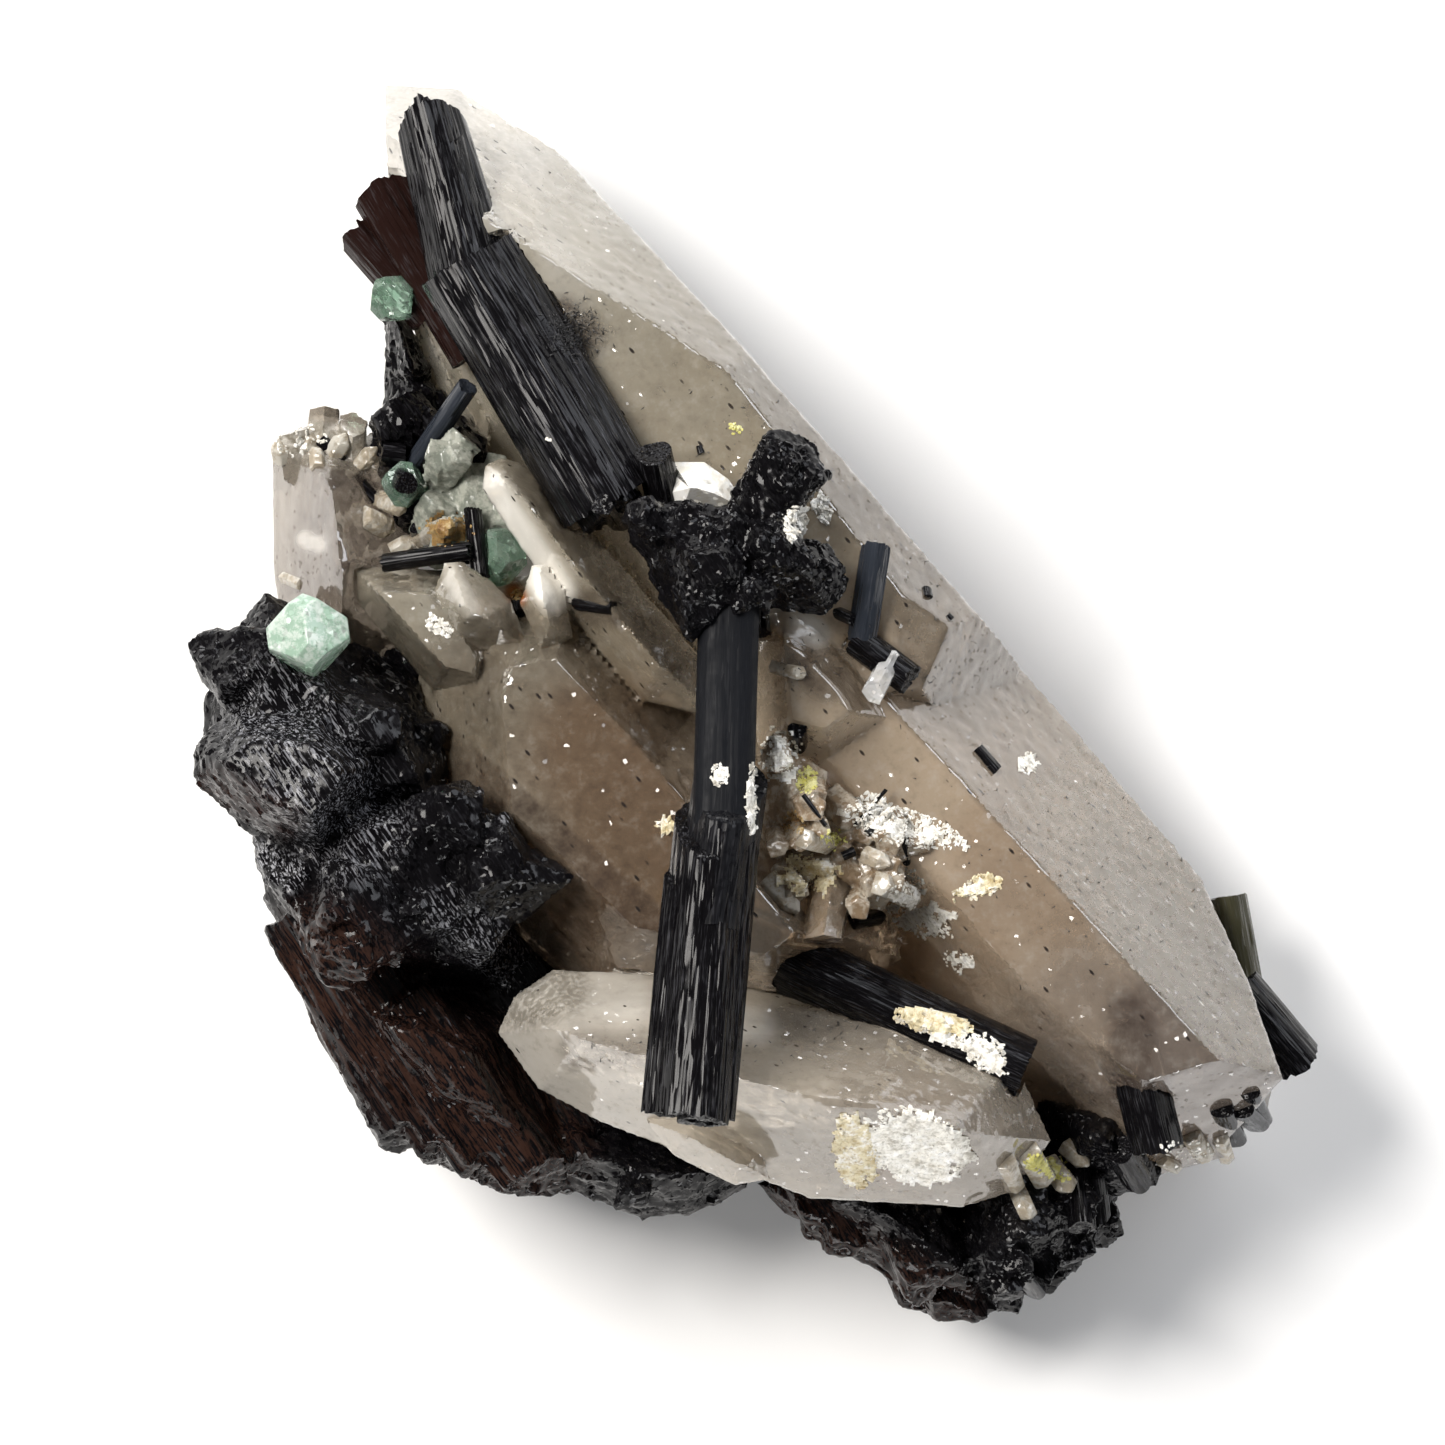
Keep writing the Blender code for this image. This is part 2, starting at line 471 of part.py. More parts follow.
def specimen():
    """Every piece, in the order in which the crystals keep their shape against the next ones."""
    pieces = {
        "schorl_front": front_schorl(),
        "schorl_upper": upper_schorl(),
        "schorl_reddish": reddish_schorl(),
    }
    for name, shape in single_prisms().items():
        pieces[name] = [shape]
    pieces["white_crystal"] = white_crystal()
    pieces["fluorite_large"] = fluorite((-31.9, 5.1, 27.4), 5.2, 121)
    pieces["fluorite_top"] = fluorite((-26.0, 29.2, 19.4), 3.2, 122)
    pieces["fluorite_middle"] = fluorite((-18.5, 10.7, 22.4), 3.6, 123)
    pieces["fluorite_hollow"] = fluorite((-25.2, 15.9, 20.6), 2.9, 124)
    pieces["schorl_knot"] = knot_schorl()
    pieces["quartz_lower"] = lower_quartz()
    pieces["quartz_main"] = main_quartz()
    pieces["quartz_left"] = left_quartz()
    pieces["schorl_left"] = left_schorl()
    pieces["schorl_lower_right"] = lower_right_schorl()
    pieces["schorl_hollow"] = hollow_schorl()
    pieces["crust_hollow"] = hollow_crust()
    pieces["crust_front"] = front_crust()
    return pieces


def finish(name):
    """The piece's own material: the first name in FINISHES that its name starts with."""
    colour, roughness = next(FINISHES[key] for key in FINISHES if name.startswith(key))
    material = bpy.data.materials.new(name)
    material.use_nodes = True
    shader = material.node_tree.nodes["Principled BSDF"]
    shader.inputs["Base Color"].default_value = (*colour, 1)
    shader.inputs["Roughness"].default_value = roughness
    shader.inputs["Metallic"].default_value = 0.0
    return material


def mesh_object(name, bm):
    bmesh.ops.scale(bm, vec=(MM, MM, MM), verts=bm.verts)
    bmesh.ops.triangulate(bm, faces=bm.faces)
    mesh = bpy.data.meshes.new(name)
    bm.to_mesh(mesh)
    bm.free()
    return bpy.data.objects.new(name, mesh)


def tools_collection(name, shapes, grow):
    """The convex bodies of one piece, grown a little, kept out of the render as cutters or parts to join."""
    group = bpy.data.collections.new(name)
    bpy.context.scene.collection.children.link(group)
    for index, shape in enumerate(shapes):
        tool = mesh_object(f"{name}_{index}", shape(grow))
        tool.hide_render = True
        tool.display_type = "WIRE"
        group.objects.link(tool)
    return group


def box_of(group):
    corners = [tool.matrix_world @ vert.co for tool in group.objects for vert in tool.data.vertices]
    low = Vector([min(corner[i] for corner in corners) for i in range(3)])
    high = Vector([max(corner[i] for corner in corners) for i in range(3)])
    return low, high


def boxes_meet(first, second):
    return all(first[0][i] <= second[1][i] and second[0][i] <= first[1][i] for i in range(3))


def add_boolean(piece, name, operation, group):
    modifier = piece.modifiers.new(name, "BOOLEAN")
    modifier.operation = operation
    modifier.operand_type = "COLLECTION"
    modifier.collection = group
    modifier.solver = "EXACT"


def shells(bm):
    """The connected surfaces of a mesh, each as a set of its points."""
    found = []
    left = set(bm.verts)
    while left:
        reached = {left.pop()}
        edge_of_search = list(reached)
        while edge_of_search:
            vert = edge_of_search.pop()
            for edge in vert.link_edges:
                other = edge.other_vert(vert)
                if other not in reached:
                    reached.add(other)
                    edge_of_search.append(other)
        left -= reached
        found.append(reached)
    return found


def keep_main_body(piece):
    """Applies the Booleans, then drops the crumbs and pinholes that they leave beside the crystal."""
    graph = bpy.context.evaluated_depsgraph_get()
    mesh = bpy.data.meshes.new_from_object(piece.evaluated_get(graph))
    bm = bmesh.new()
    bm.from_mesh(mesh)
    bodies = sorted(shells(bm), key=len)
    crumbs = [vert for body in bodies[:-1] for vert in body]
    bmesh.ops.delete(bm, geom=crumbs, context="VERTS")
    bm.to_mesh(mesh)
    bm.free()
    piece.modifiers.clear()
    piece.data = mesh


def main():
    for obj in list(bpy.data.objects):
        bpy.data.objects.remove(obj, do_unlink=True)
    placed = []
    for name, shapes in specimen().items():
        piece = mesh_object(name, shapes[0](0.0))
        piece.data.materials.append(finish(name))
        bpy.context.scene.collection.objects.link(piece)
        grown = tools_collection("around_" + name, shapes, GAP)
        if len(shapes) > 1:
            add_boolean(piece, "grown together", "UNION", tools_collection("of_" + name, shapes[1:], 0.0))
        room = box_of(grown)
        for other_room, other in placed:
            if boxes_meet(room, other_room):
                add_boolean(piece, "pocket for " + other.name, "DIFFERENCE", other)
        keep_main_body(piece)
        placed.append((room, grown))


main()
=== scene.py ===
"""Looks for a specimen of black tourmaline on smoky quartz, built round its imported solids.

Sizes in the settings are metres, as Blender's are. Places and small sizes in the tables are millimetres:
X runs right, Y up the specimen and Z out of its front.
"""

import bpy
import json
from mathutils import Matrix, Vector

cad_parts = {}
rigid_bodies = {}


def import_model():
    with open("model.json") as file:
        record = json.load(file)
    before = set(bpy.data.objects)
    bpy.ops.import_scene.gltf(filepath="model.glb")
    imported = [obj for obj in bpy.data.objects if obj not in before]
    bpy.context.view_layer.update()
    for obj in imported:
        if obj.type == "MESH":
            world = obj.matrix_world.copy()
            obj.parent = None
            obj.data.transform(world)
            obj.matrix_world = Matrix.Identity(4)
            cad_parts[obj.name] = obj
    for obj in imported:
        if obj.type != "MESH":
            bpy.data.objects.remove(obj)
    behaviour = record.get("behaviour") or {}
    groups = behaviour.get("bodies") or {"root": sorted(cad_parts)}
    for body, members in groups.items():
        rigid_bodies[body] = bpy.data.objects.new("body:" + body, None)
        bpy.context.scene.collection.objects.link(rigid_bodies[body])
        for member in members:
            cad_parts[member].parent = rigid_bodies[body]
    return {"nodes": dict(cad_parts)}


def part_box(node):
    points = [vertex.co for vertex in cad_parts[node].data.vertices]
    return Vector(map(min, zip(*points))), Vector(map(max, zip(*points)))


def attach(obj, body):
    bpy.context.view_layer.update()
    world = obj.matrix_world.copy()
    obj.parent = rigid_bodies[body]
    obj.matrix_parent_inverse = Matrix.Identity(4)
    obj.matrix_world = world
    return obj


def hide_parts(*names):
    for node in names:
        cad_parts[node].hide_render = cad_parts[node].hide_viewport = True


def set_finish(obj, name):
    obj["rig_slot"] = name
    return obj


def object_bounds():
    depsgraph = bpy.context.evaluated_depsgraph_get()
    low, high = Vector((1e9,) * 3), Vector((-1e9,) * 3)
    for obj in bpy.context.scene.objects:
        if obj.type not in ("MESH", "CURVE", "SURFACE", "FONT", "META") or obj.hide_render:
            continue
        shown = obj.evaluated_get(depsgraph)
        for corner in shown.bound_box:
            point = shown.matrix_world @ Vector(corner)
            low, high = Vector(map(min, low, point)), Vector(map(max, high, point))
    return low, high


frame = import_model()
CAD_BOX = [list(corner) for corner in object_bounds()]

import json
import math
import random

import bmesh
import bpy
import numpy as np
from mathutils import Matrix, Vector, noise
from mathutils.bvhtree import BVHTree

bl_info = {
    "name": "Schorl on Smoky Quartz",
    "version": (1, 0, 0),
    "blender": (4, 5, 0),
    "location": "View3D > Sidebar > Specimen",
    "description": "Dresses the packed solids of a quartz and tourmaline specimen",
    "category": "Object",
}

MM = 0.001
WELD = 1e-5  # metres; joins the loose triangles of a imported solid
QUARTZ_IOR = 1.544
SCHORL_IOR = 1.65
FLUORITE_IOR = 1.434
HANDOVER = 0.25  # mm that a prism is fattened by, so that it fills the pocket its solid leaves in the quartz
OVERHEAD = 60.0  # mm above the resting face, clear of the whole specimen
UNPROPPED = 10.0  # mm above the resting face, for the end of a small crystal with nothing below it
SUNK = 0.3  # share of its width that a small crystal is sunk by

# The c axes of the two leading directions of growth, in the plane of the front.
MAIN_AXIS = Vector((0.66, -0.75, 0.0)).normalized()
MASS_AXIS = Vector((0.55, -0.80, 0.10)).normalized()

# Blender's vector noise would otherwise take its offsets from the clock, and differ from run to run.
noise.seed_set(1)


def linear(code):
    """An sRGB hex colour as linear red, green, blue and alpha."""
    found = []
    for start in (0, 2, 4):
        level = int(code[start:start + 2], 16) / 255
        found.append(level / 12.92 if level <= 0.04045 else ((level + 0.055) / 1.055) ** 2.4)
    return (*found, 1.0)


def tint(name, description, code):
    """A colour that a user may change."""
    return bpy.props.FloatVectorProperty(
        name=name, description=description, subtype="COLOR", size=4, min=0.0, max=1.0,
        default=linear(code))


def length(name, description, millimetres):
    """A length that a user may change."""
    return bpy.props.FloatProperty(
        name=name, description=description, unit="LENGTH", subtype="DISTANCE", min=0.0,
        precision=5, default=millimetres * MM)


class QuartzSettings(bpy.types.PropertyGroup):
    """Colours and detail of the smoky and the pale quartz."""
    tip: tint("Tip", "Milky tip of the large crystal", "F7F3EA")
    body: tint("Body", "Smoky body of the large crystal", "B4A892")
    foot: tint("Foot", "Brown foot of the large crystal", "DBC6AC")
    amber: tint("Amber", "Honey-brown heart of the second crystal", "977858")
    # Also the colour of painted shade, on the large crystal's right-facing waist and below the second
    # crystal's edge.
    smoke_and_shade: tint("Smoke", "Darkest smoky quartz", "4A3A32")
    frost: tint("Frost", "Etched grey faces", "8F8778")
    pale: tint("Pale quartz", "The crystals at the left and across the foot", "F3EDE2")
    speck: tint("Specks", "Fine dark grains in the surface", "37302C")
    net: length("Net", "Spacing of the points of a crystal's surface", 0.42)


class SchorlSettings(bpy.types.PropertyGroup):
    """Colours and detail of the tourmaline."""
    black: tint("Black", "Schorl in thick prisms", "0B0A0C")
    reddish: tint("Reddish", "Thin schorl that lets red-brown light through", "231512")
    olive: tint("Olive", "The prism at the right edge", "3C3A2B")
    blue: tint("Blue-grey", "Small steel-grey prisms", "2B2F36")
    net: length("Net", "Spacing of the points of a broken mass", 0.30)
    rib: length("Ribs", "Depth of the ribs along a prism", 0.13)


class CrustSettings(bpy.types.PropertyGroup):
    """Colours of the coatings and of the small green crystals."""
    white: tint("White", "Flaky white coating", "F2EFE6")
    cream: tint("Cream", "Cream coating", "DDD2B0")
    ochre: tint("Ochre", "Iron-stained grains", "97794A")
    lichen: tint("Yellow-green", "Yellow-green coating", "C9C36A")
    fluorite: tint("Fluorite", "Small pale green crystals", "AECBB7")
    deep: tint("Deep fluorite", "The clearer, darker green crystals", "8FB09A")
    grey: tint("Grey", "Grey-green grains in the hollow", "8C9186")


class StageSettings(bpy.types.PropertyGroup):
    """The floor, the lights and the camera."""
    floor: tint("Floor", "Colour of the floor", "F6F6F6")
    frame_width: length("Frame", "Width that the picture shows", 103.2)
    distance: length("Distance", "Camera to the middle of the specimen", 1200.0)
    key: bpy.props.FloatProperty(name="Key", description="Main light", subtype="POWER", default=9.4)


def add(tree, kind, inputs=None, out=0, stops=(), **settings):
    """Adds a shader node and gives one of its outputs. Each input is a value or another node's output."""
    node = tree.nodes.new("ShaderNode" + kind)
    for name, value in settings.items():
        setattr(node, name, value)
    for place, colour in stops:
        elements = node.color_ramp.elements
        ends = {0.0: elements[0], 1.0: elements[-1]}
        (ends.get(place) or elements.new(place)).color = colour
    for name, value in (inputs or {}).items():
        if isinstance(value, bpy.types.NodeSocket):
            tree.links.new(value, node.inputs[name])
        else:
            node.inputs[name].default_value = value
    return node.outputs[out] if node.outputs else None


def per_metre(millimetres):
    """The texture scale at which one feature is this many millimetres across."""
    return 1000.0 / millimetres


def new_material(name):
    """A material and its empty node tree."""
    material = bpy.data.materials.new(name)
    material.use_nodes = True
    material.node_tree.nodes.clear()
    return material, material.node_tree


def layered(tree, colour, layers):
    """A colour with others laid over it in turn, each in its own share from 0 to 1."""
    for share, over in layers:
        colour = add(tree, "Mix", {0: share, 6: colour, 7: over}, 2, data_type="RGBA")
    return colour


def facet_height(tree, vector, size, lean, share):
    """Height, in metres, of small flat facets, a share of which lean by up to the slope lean."""
    cells = add(tree, "TexVoronoi", {"Vector": vector, "Scale": per_metre(size)}).node.outputs
    away = add(tree, "VectorMath", {0: vector, 1: cells["Position"]}, operation="SUBTRACT")
    slope = add(tree, "VectorMath",
                {0: cells["Color"], 1: (2 * lean,) * 3, 2: (-lean,) * 3}, operation="MULTIPLY_ADD")
    height = add(tree, "VectorMath", {0: away, 1: slope}, "Value", operation="DOT_PRODUCT")
    pick = add(tree, "SeparateColor", {"Color": cells["Color"]}, "Blue")
    leaning = add(tree, "Math", {0: pick, 1: share}, operation="LESS_THAN")
    return add(tree, "Math", {0: height, 1: leaning}, operation="MULTIPLY")


def specks(tree, vector, size, radius, dark, pale):
    """Where dark and where pale specks are, one to a cell, in the given shares of the cells."""
    cells = add(tree, "TexVoronoi", {"Vector": vector, "Scale": per_metre(size)}).node.outputs
    near = add(tree, "MapRange",
               {"Value": cells["Distance"], "From Min": radius / size, "From Max": 0.6 * radius / size})
    pick = add(tree, "SeparateColor", {"Color": cells["Color"]}, "Red")
    chosen = [add(tree, "Math", {0: pick, 1: dark}, operation="LESS_THAN"),
              add(tree, "Math", {0: pick, 1: 1 - pale}, operation="GREATER_THAN")]
    return [add(tree, "Math", {0: near, 1: part}, operation="MULTIPLY") for part in chosen]


def stretched(tree, axis, stretch):
    """Object coordinates squeezed along an axis, so that a pattern on them is drawn out along it."""
    coords = add(tree, "TexCoord", out="Object")
    turn = axis.to_track_quat("Z", "Y").to_euler()
    turned = add(tree, "Mapping", {"Vector": coords, "Rotation": turn}, vector_type="TEXTURE")
    return add(tree, "VectorMath", {0: turned, 1: (1.0, 1.0, 1.0 / stretch)}, operation="MULTIPLY")


def quartz_material(name, ramp, settings, density, specked):
    """Quartz, grown: glassy but clouded by veils, etched grey on some faces, with dark specks and with bright
    specks that are painted glints. Its smoke field also carries painted shade.
    """
    clear, milky_white = 0.58, 0.18  # the share of the light that passes into the crystal
    polished, frosted = 0.10, 0.44  # roughness
    material, tree = new_material(name)
    coords = add(tree, "TexCoord", out="Object")
    fibres = stretched(tree, MAIN_AXIS, stretch=2.6)
    along, amber, smoke_and_shade, frost, rust, milk = (
        add(tree, "Attribute", out="Fac", attribute_name=field)
        for field in ("along", "amber", "smoke_and_shade", "frost", "rust", "milk"))
    veils, mottle, grain = (
        add(tree, "TexNoise",
            {"Vector": coords, "Scale": per_metre(size), "Detail": detail, "Roughness": 0.75})
        for size, detail in ((9.0, 1.0), (1.3, 3.0), (0.45, 1.0)))
    # The bands of colour wander by up to 0.15 of the crystal's length.
    wander = add(tree, "Math", {0: veils, 1: 0.30, 2: -0.15}, operation="MULTIPLY_ADD")
    place = add(tree, "Math", {0: along, 1: wander}, operation="ADD")
    milky, dusky, smoked_and_shaded, etched = (
        add(tree, "MapRange", {"Value": value, "From Min": low, "From Max": high, "To Max": top})
        for value, low, high, top in ((mottle, 0.52, 0.80, 0.30), (mottle, 0.47, 0.24, 0.26),
                                      (mottle, 1.20, 0.15, 1.0), (grain, 0.30, 0.60, 1.0)))
    # The smoke field holds painted shade as well as real smoke; both darken towards the smoke colour here.
    smoked_and_shaded = add(tree, "Math", {0: smoke_and_shade, 1: smoked_and_shaded}, operation="MULTIPLY")
    etched = add(tree, "Math", {0: frost, 1: etched}, operation="MULTIPLY")
    # The pale specks are painted glints, laid on the etched faces only.
    grains, painted_glints = specks(tree, fibres, size=0.66, radius=0.13, dark=specked, pale=0.24)
    painted_glints = add(tree, "Math", {0: painted_glints, 1: frost}, operation="MULTIPLY")
    colour = layered(tree, add(tree, "ValToRGB", {"Fac": place}, stops=ramp), [
        (amber, settings.amber),
        (milky, settings.tip),
        (dusky, settings.smoke_and_shade),
        (smoked_and_shaded, settings.smoke_and_shade),
        (milk, settings.tip),
        (etched, settings.frost),
        (grains, settings.speck),
        # Painted glints.
        (painted_glints, linear("F6F3EC")),
        (rust, linear("B4621E")),
    ])
    dull = add(tree, "Math", {0: etched, 1: frosted - polished, 2: polished}, operation="MULTIPLY_ADD")
    see_through = add(tree, "Math", {0: milk, 1: milky_white - clear, 2: clear},
                      operation="MULTIPLY_ADD")
    # The facets turn the gloss alone, as a skin does: light inside the crystal doesn't show them.
    height = facet_height(tree, coords, size=0.26, lean=0.45, share=0.06)
    relief = add(tree, "Bump", {"Strength": 1.0, "Distance": 1.0, "Height": height})
    shader = add(tree, "BsdfPrincipled",
                 {"Base Color": colour, "Roughness": dull, "IOR": QUARTZ_IOR,
                  "Transmission Weight": see_through, "Coat Weight": 1.0, "Coat Roughness": 0.06,
                  "Coat IOR": QUARTZ_IOR, "Coat Normal": relief})
    smoky = add(tree, "VolumeAbsorption", {"Density": density, "Color": linear("DECBB0")})
    add(tree, "OutputMaterial", {"Surface": shader, "Volume": smoky})
    return material


def schorl_material(name, colour, cell=0.15, lean=0.50, stretch=0.07, share=0.55, line=0.14, gleam=0.3,
                    shine=0.09):
    """Schorl, grown: black and vitreous, with grey lines of painted sheen along it, painted silver glints
    where its silver field says, and flat slivers that catch the light.

    The slivers are cell millimetres across and 1 / stretch times as long, and a share of them lean by up to
    lean. The painted sheen lines are line millimetres across, coarser than the real ones so that they show,
    and gleam sets how bright they are.
    """
    material, tree = new_material(name)
    axis = add(tree, "Attribute", out="Vector", attribute_name="axis_place")
    brown, painted_silver_glints, calm = (
        add(tree, "Attribute", out="Fac", attribute_name=field)
        for field in ("brown", "painted_silver_glints", "calm"))
    drawn, slivers = (
        add(tree, "VectorMath", {0: axis, 1: (1.0, 1.0, squeeze)}, operation="MULTIPLY")
        for squeeze in (0.07, stretch))
    lines, worn = (
        add(tree, "TexNoise",
            {"Vector": vector, "Scale": per_metre(size), "Detail": 2.0, "Roughness": 0.7})
        for vector, size in ((drawn, line), (axis, 1.7)))
    painted_sheen_lines, patchy, browned, painted_silver_lines = (
        add(tree, "MapRange", {"Value": value, "From Min": low, "From Max": high, "To Max": top})
        for value, low, high, top in ((lines, 0.52, 0.70, gleam), (worn, 0.36, 0.62, 1.0),
                                      (lines, 0.44, 0.56, 1.0), (lines, 0.53, 0.62, 1.0)))
    painted_sheen_lines, browned, painted_silver_lines = (
        add(tree, "Math", {0: first, 1: second}, operation="MULTIPLY")
        for first, second in ((painted_sheen_lines, patchy), (browned, brown), (painted_silver_lines, painted_silver_glints)))
    shade = layered(tree, colour, [
        # Painted sheen: grey lines that stand in for light off the striations.
        (painted_sheen_lines, linear("6E6E74")),
        (browned, linear("2F1F19")),
        # Painted glints: pale silver dashes where the mass is cleaved.
        (painted_silver_lines, linear("B4B5BB")),
        (calm, linear("0E1015")),
    ])
    # Worn patches are duller, and so is a calm prism all over.
    gloss = add(tree, "MapRange",
                {"Value": worn, "From Min": 0.35, "From Max": 0.65, "To Min": 0.07, "To Max": 0.24})
    dull = add(tree, "Math", {0: calm, 1: 0.50, 2: gloss}, operation="MULTIPLY_ADD")
    # A calm prism keeps only a fifth of the slivers' height.
    rest = add(tree, "MapRange", {"Value": calm, "From Min": 1.25, "From Max": 0.0})
    height = add(tree, "Math", {0: facet_height(tree, slivers, cell, lean, share), 1: rest},
                 operation="MULTIPLY")
    relief = add(tree, "Bump", {"Strength": 1.0, "Distance": 1.0, "Height": height})
    shader = add(tree, "BsdfPrincipled",
                 {"Base Color": shade, "Roughness": dull, "IOR": SCHORL_IOR,
                  "Specular IOR Level": shine, "Normal": relief})
    add(tree, "OutputMaterial", {"Surface": shader})
    return material


def crust_material(name, main, second, third):
    """A mineral coating: crumbly and patchy in colour, of grains fine enough to sparkle, with painted shade
    between them.
    """
    material, tree = new_material(name)
    coords = add(tree, "TexCoord", out="Object")
    patch, fine = (
        add(tree, "TexNoise",
            {"Vector": coords, "Scale": per_metre(size), "Detail": 4.0, "Roughness": 0.7})
        for size in (1.3, 0.35))
    # The patch noise lays the third colour as stains; the fine noise lays it between the grains as painted
    # shade.
    pale, stained, painted_grain_shade = (
        add(tree, "MapRange", {"Value": value, "From Min": low, "From Max": high, "To Max": top})
        for value, low, high, top in ((patch, 0.50, 0.60, 1.0), (patch, 0.46, 0.34, 0.8),
                                      (fine, 0.50, 0.34, 0.8)))
    colour = layered(tree, main, [(pale, second), (stained, third), (painted_grain_shade, third)])
    height = add(tree, "Math",
                 {0: fine, 1: 0.08 * MM, 2: facet_height(tree, coords, size=0.28, lean=0.5, share=0.6)},
                 operation="MULTIPLY_ADD")
    relief = add(tree, "Bump", {"Strength": 1.0, "Distance": 1.0, "Height": height})
    shader = add(tree, "BsdfPrincipled",
                 {"Base Color": colour, "Roughness": 0.34, "IOR": 1.5, "Normal": relief})
    add(tree, "OutputMaterial", {"Surface": shader})
    return material


def glassy_material(name, colour, second, clear, rough, ior=QUARTZ_IOR, cloud=1.3):
    """A small clear crystal: smooth faces that glint, clouded in patches of a second colour."""
    material, tree = new_material(name)
    coords = add(tree, "TexCoord", out="Object")
    veil = add(tree, "TexNoise",
               {"Vector": coords, "Scale": per_metre(cloud), "Detail": 4.0, "Roughness": 0.75})
    share = add(tree, "MapRange", {"Value": veil, "From Min": 0.44, "From Max": 0.58})
    height = facet_height(tree, coords, size=0.35, lean=0.45, share=0.30)
    relief = add(tree, "Bump", {"Strength": 1.0, "Distance": 1.0, "Height": height})
    shader = add(tree, "BsdfPrincipled",
                 {"Base Color": layered(tree, colour, [(share, second)]), "Roughness": rough, "IOR": ior,
                  "Transmission Weight": clear, "Normal": relief})
    add(tree, "OutputMaterial", {"Surface": shader})
    return material


def put(name, data):
    """A new object in the scene."""
    thing = bpy.data.objects.new(name, data)
    bpy.context.scene.collection.objects.link(thing)
    return thing


def mesh_of(name, bm):
    """A new mesh with what a bmesh holds. The bmesh is freed."""
    mesh = bpy.data.meshes.new(name)
    bm.to_mesh(mesh)
    bm.free()
    return mesh


def made(found, kind):
    """The vertices, or whatever kind is asked for, in what an operator gives back."""
    return [item for item in found["geom"] if isinstance(item, kind)]


def welded(node):
    """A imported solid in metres, its loose triangles joined."""
    bm = bmesh.new()
    bm.from_mesh(frame["nodes"][node].data)
    bmesh.ops.remove_doubles(bm, verts=bm.verts, dist=WELD)
    return bm


def even_net(node, spacing, crisp=False):
    """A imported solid's surface as an even net of small faces, its edges kept where crisp, in millimetres."""
    draft = put(node + "_net", mesh_of(node + "_net", welded(node)))
    net = draft.modifiers.new("even net", "REMESH")
    net.mode = "SHARP" if crisp else "VOXEL"
    net.voxel_size = spacing
    # A crisp net halves a box, a little larger than the solid, until its cells are one spacing across.
    low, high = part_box(node)
    cells = max(high - low) / spacing
    net.octree_depth = math.ceil(math.log2(cells / 0.99))
    net.scale = cells / 2 ** net.octree_depth
    net.use_remove_disconnected = False
    fine = bpy.data.meshes.new_from_object(draft.evaluated_get(bpy.context.evaluated_depsgraph_get()))
    bm = bmesh.new()
    bm.from_mesh(fine)
    bpy.data.meshes.remove(draft.data)  # and with it the draft
    bpy.data.meshes.remove(fine)
    bmesh.ops.scale(bm, vec=(1 / MM,) * 3, verts=bm.verts)
    if crisp:
        bmesh.ops.smooth_vert(bm, verts=bm.verts, factor=0.5, use_axis_x=True, use_axis_y=True,
                              use_axis_z=True)
    return bm


def solid_copy(node, edge):
    """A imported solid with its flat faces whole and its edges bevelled, in millimetres."""
    bm = welded(node)
    bmesh.ops.scale(bm, vec=(1 / MM,) * 3, verts=bm.verts)
    bmesh.ops.dissolve_limit(bm, angle_limit=math.radians(2), verts=bm.verts, edges=bm.edges)
    bmesh.ops.bevel(bm, geom=bm.edges[:], offset=edge, affect="EDGES", segments=2, profile=0.5,
                    material=-1, clamp_overlap=True)
    return bm


def shift(bm, height, *fields):
    """Moves each point along its normal by height of its place, its normal and its value in each field."""
    bm.normal_update()
    moves = [vert.normal * height(vert.co, vert.normal, *values) for vert, *values in zip(bm.verts, *fields)]
    for vert, move in zip(bm.verts, moves):
        vert.co += move


def lumps(point, size):
    """Height of rounded lumps about size across, from -1 to 1."""
    return noise.noise(point / size)


def broken(point, size):
    """Height of a surface broken into flat facets about size across, from -1 to 1 or so."""
    place = point / size
    cell = noise.voronoi(place)[1][0]
    slope = 2 * noise.noise_vector(cell * 3.7)  # 3.7 only sets neighbours apart in the noise
    return (place - cell).dot(slope)


def axis_frame(start, end):
    """A matrix whose Z runs from start to end, and whose X faces the front as far as it can."""
    along = (Vector(end) - Vector(start)).normalized()
    front = Vector((0, 0, 1)) if abs(along.z) < 0.95 else Vector((0, 1, 0))
    across = along.cross(front).normalized()
    front = across.cross(along)
    place = Matrix((front, across, along)).transposed().to_4x4()
    place.translation = Vector(start)
    return place


# Turns a place so that its Z runs along the crystals of the broken masses.
MASS_TURN = axis_frame((0, 0, 0), MASS_AXIS).inverted()


def smooth_step(values, low, high):
    """Rises smoothly from 0 at low to 1 at high, or falls where low is the greater."""
    share = np.clip((values - low) / (high - low), 0, 1)
    return share * share * (3 - 2 * share)


def near_marks(points, marks):
    """How deep each point lies in the marks: capsules from start to end, with a radius and a strength."""
    found = np.zeros(len(points))
    for start, end, radius, strength in marks:
        start, end = np.array(start, float), np.array(end, float)
        run = end - start
        share = np.clip((points[:, :2] - start) @ run / max(run @ run, 1e-9), 0, 1)
        away = np.linalg.norm(points[:, :2] - (start + share[:, None] * run), axis=1)
        found = np.maximum(found, strength * smooth_step(away, radius, 0.35 * radius))
    return found


def zones(points, piece, *names):
    """For each name, how deep every point lies in the marks that the piece has under it."""
    return {name: near_marks(points, getattr(piece, name)) for name in names}


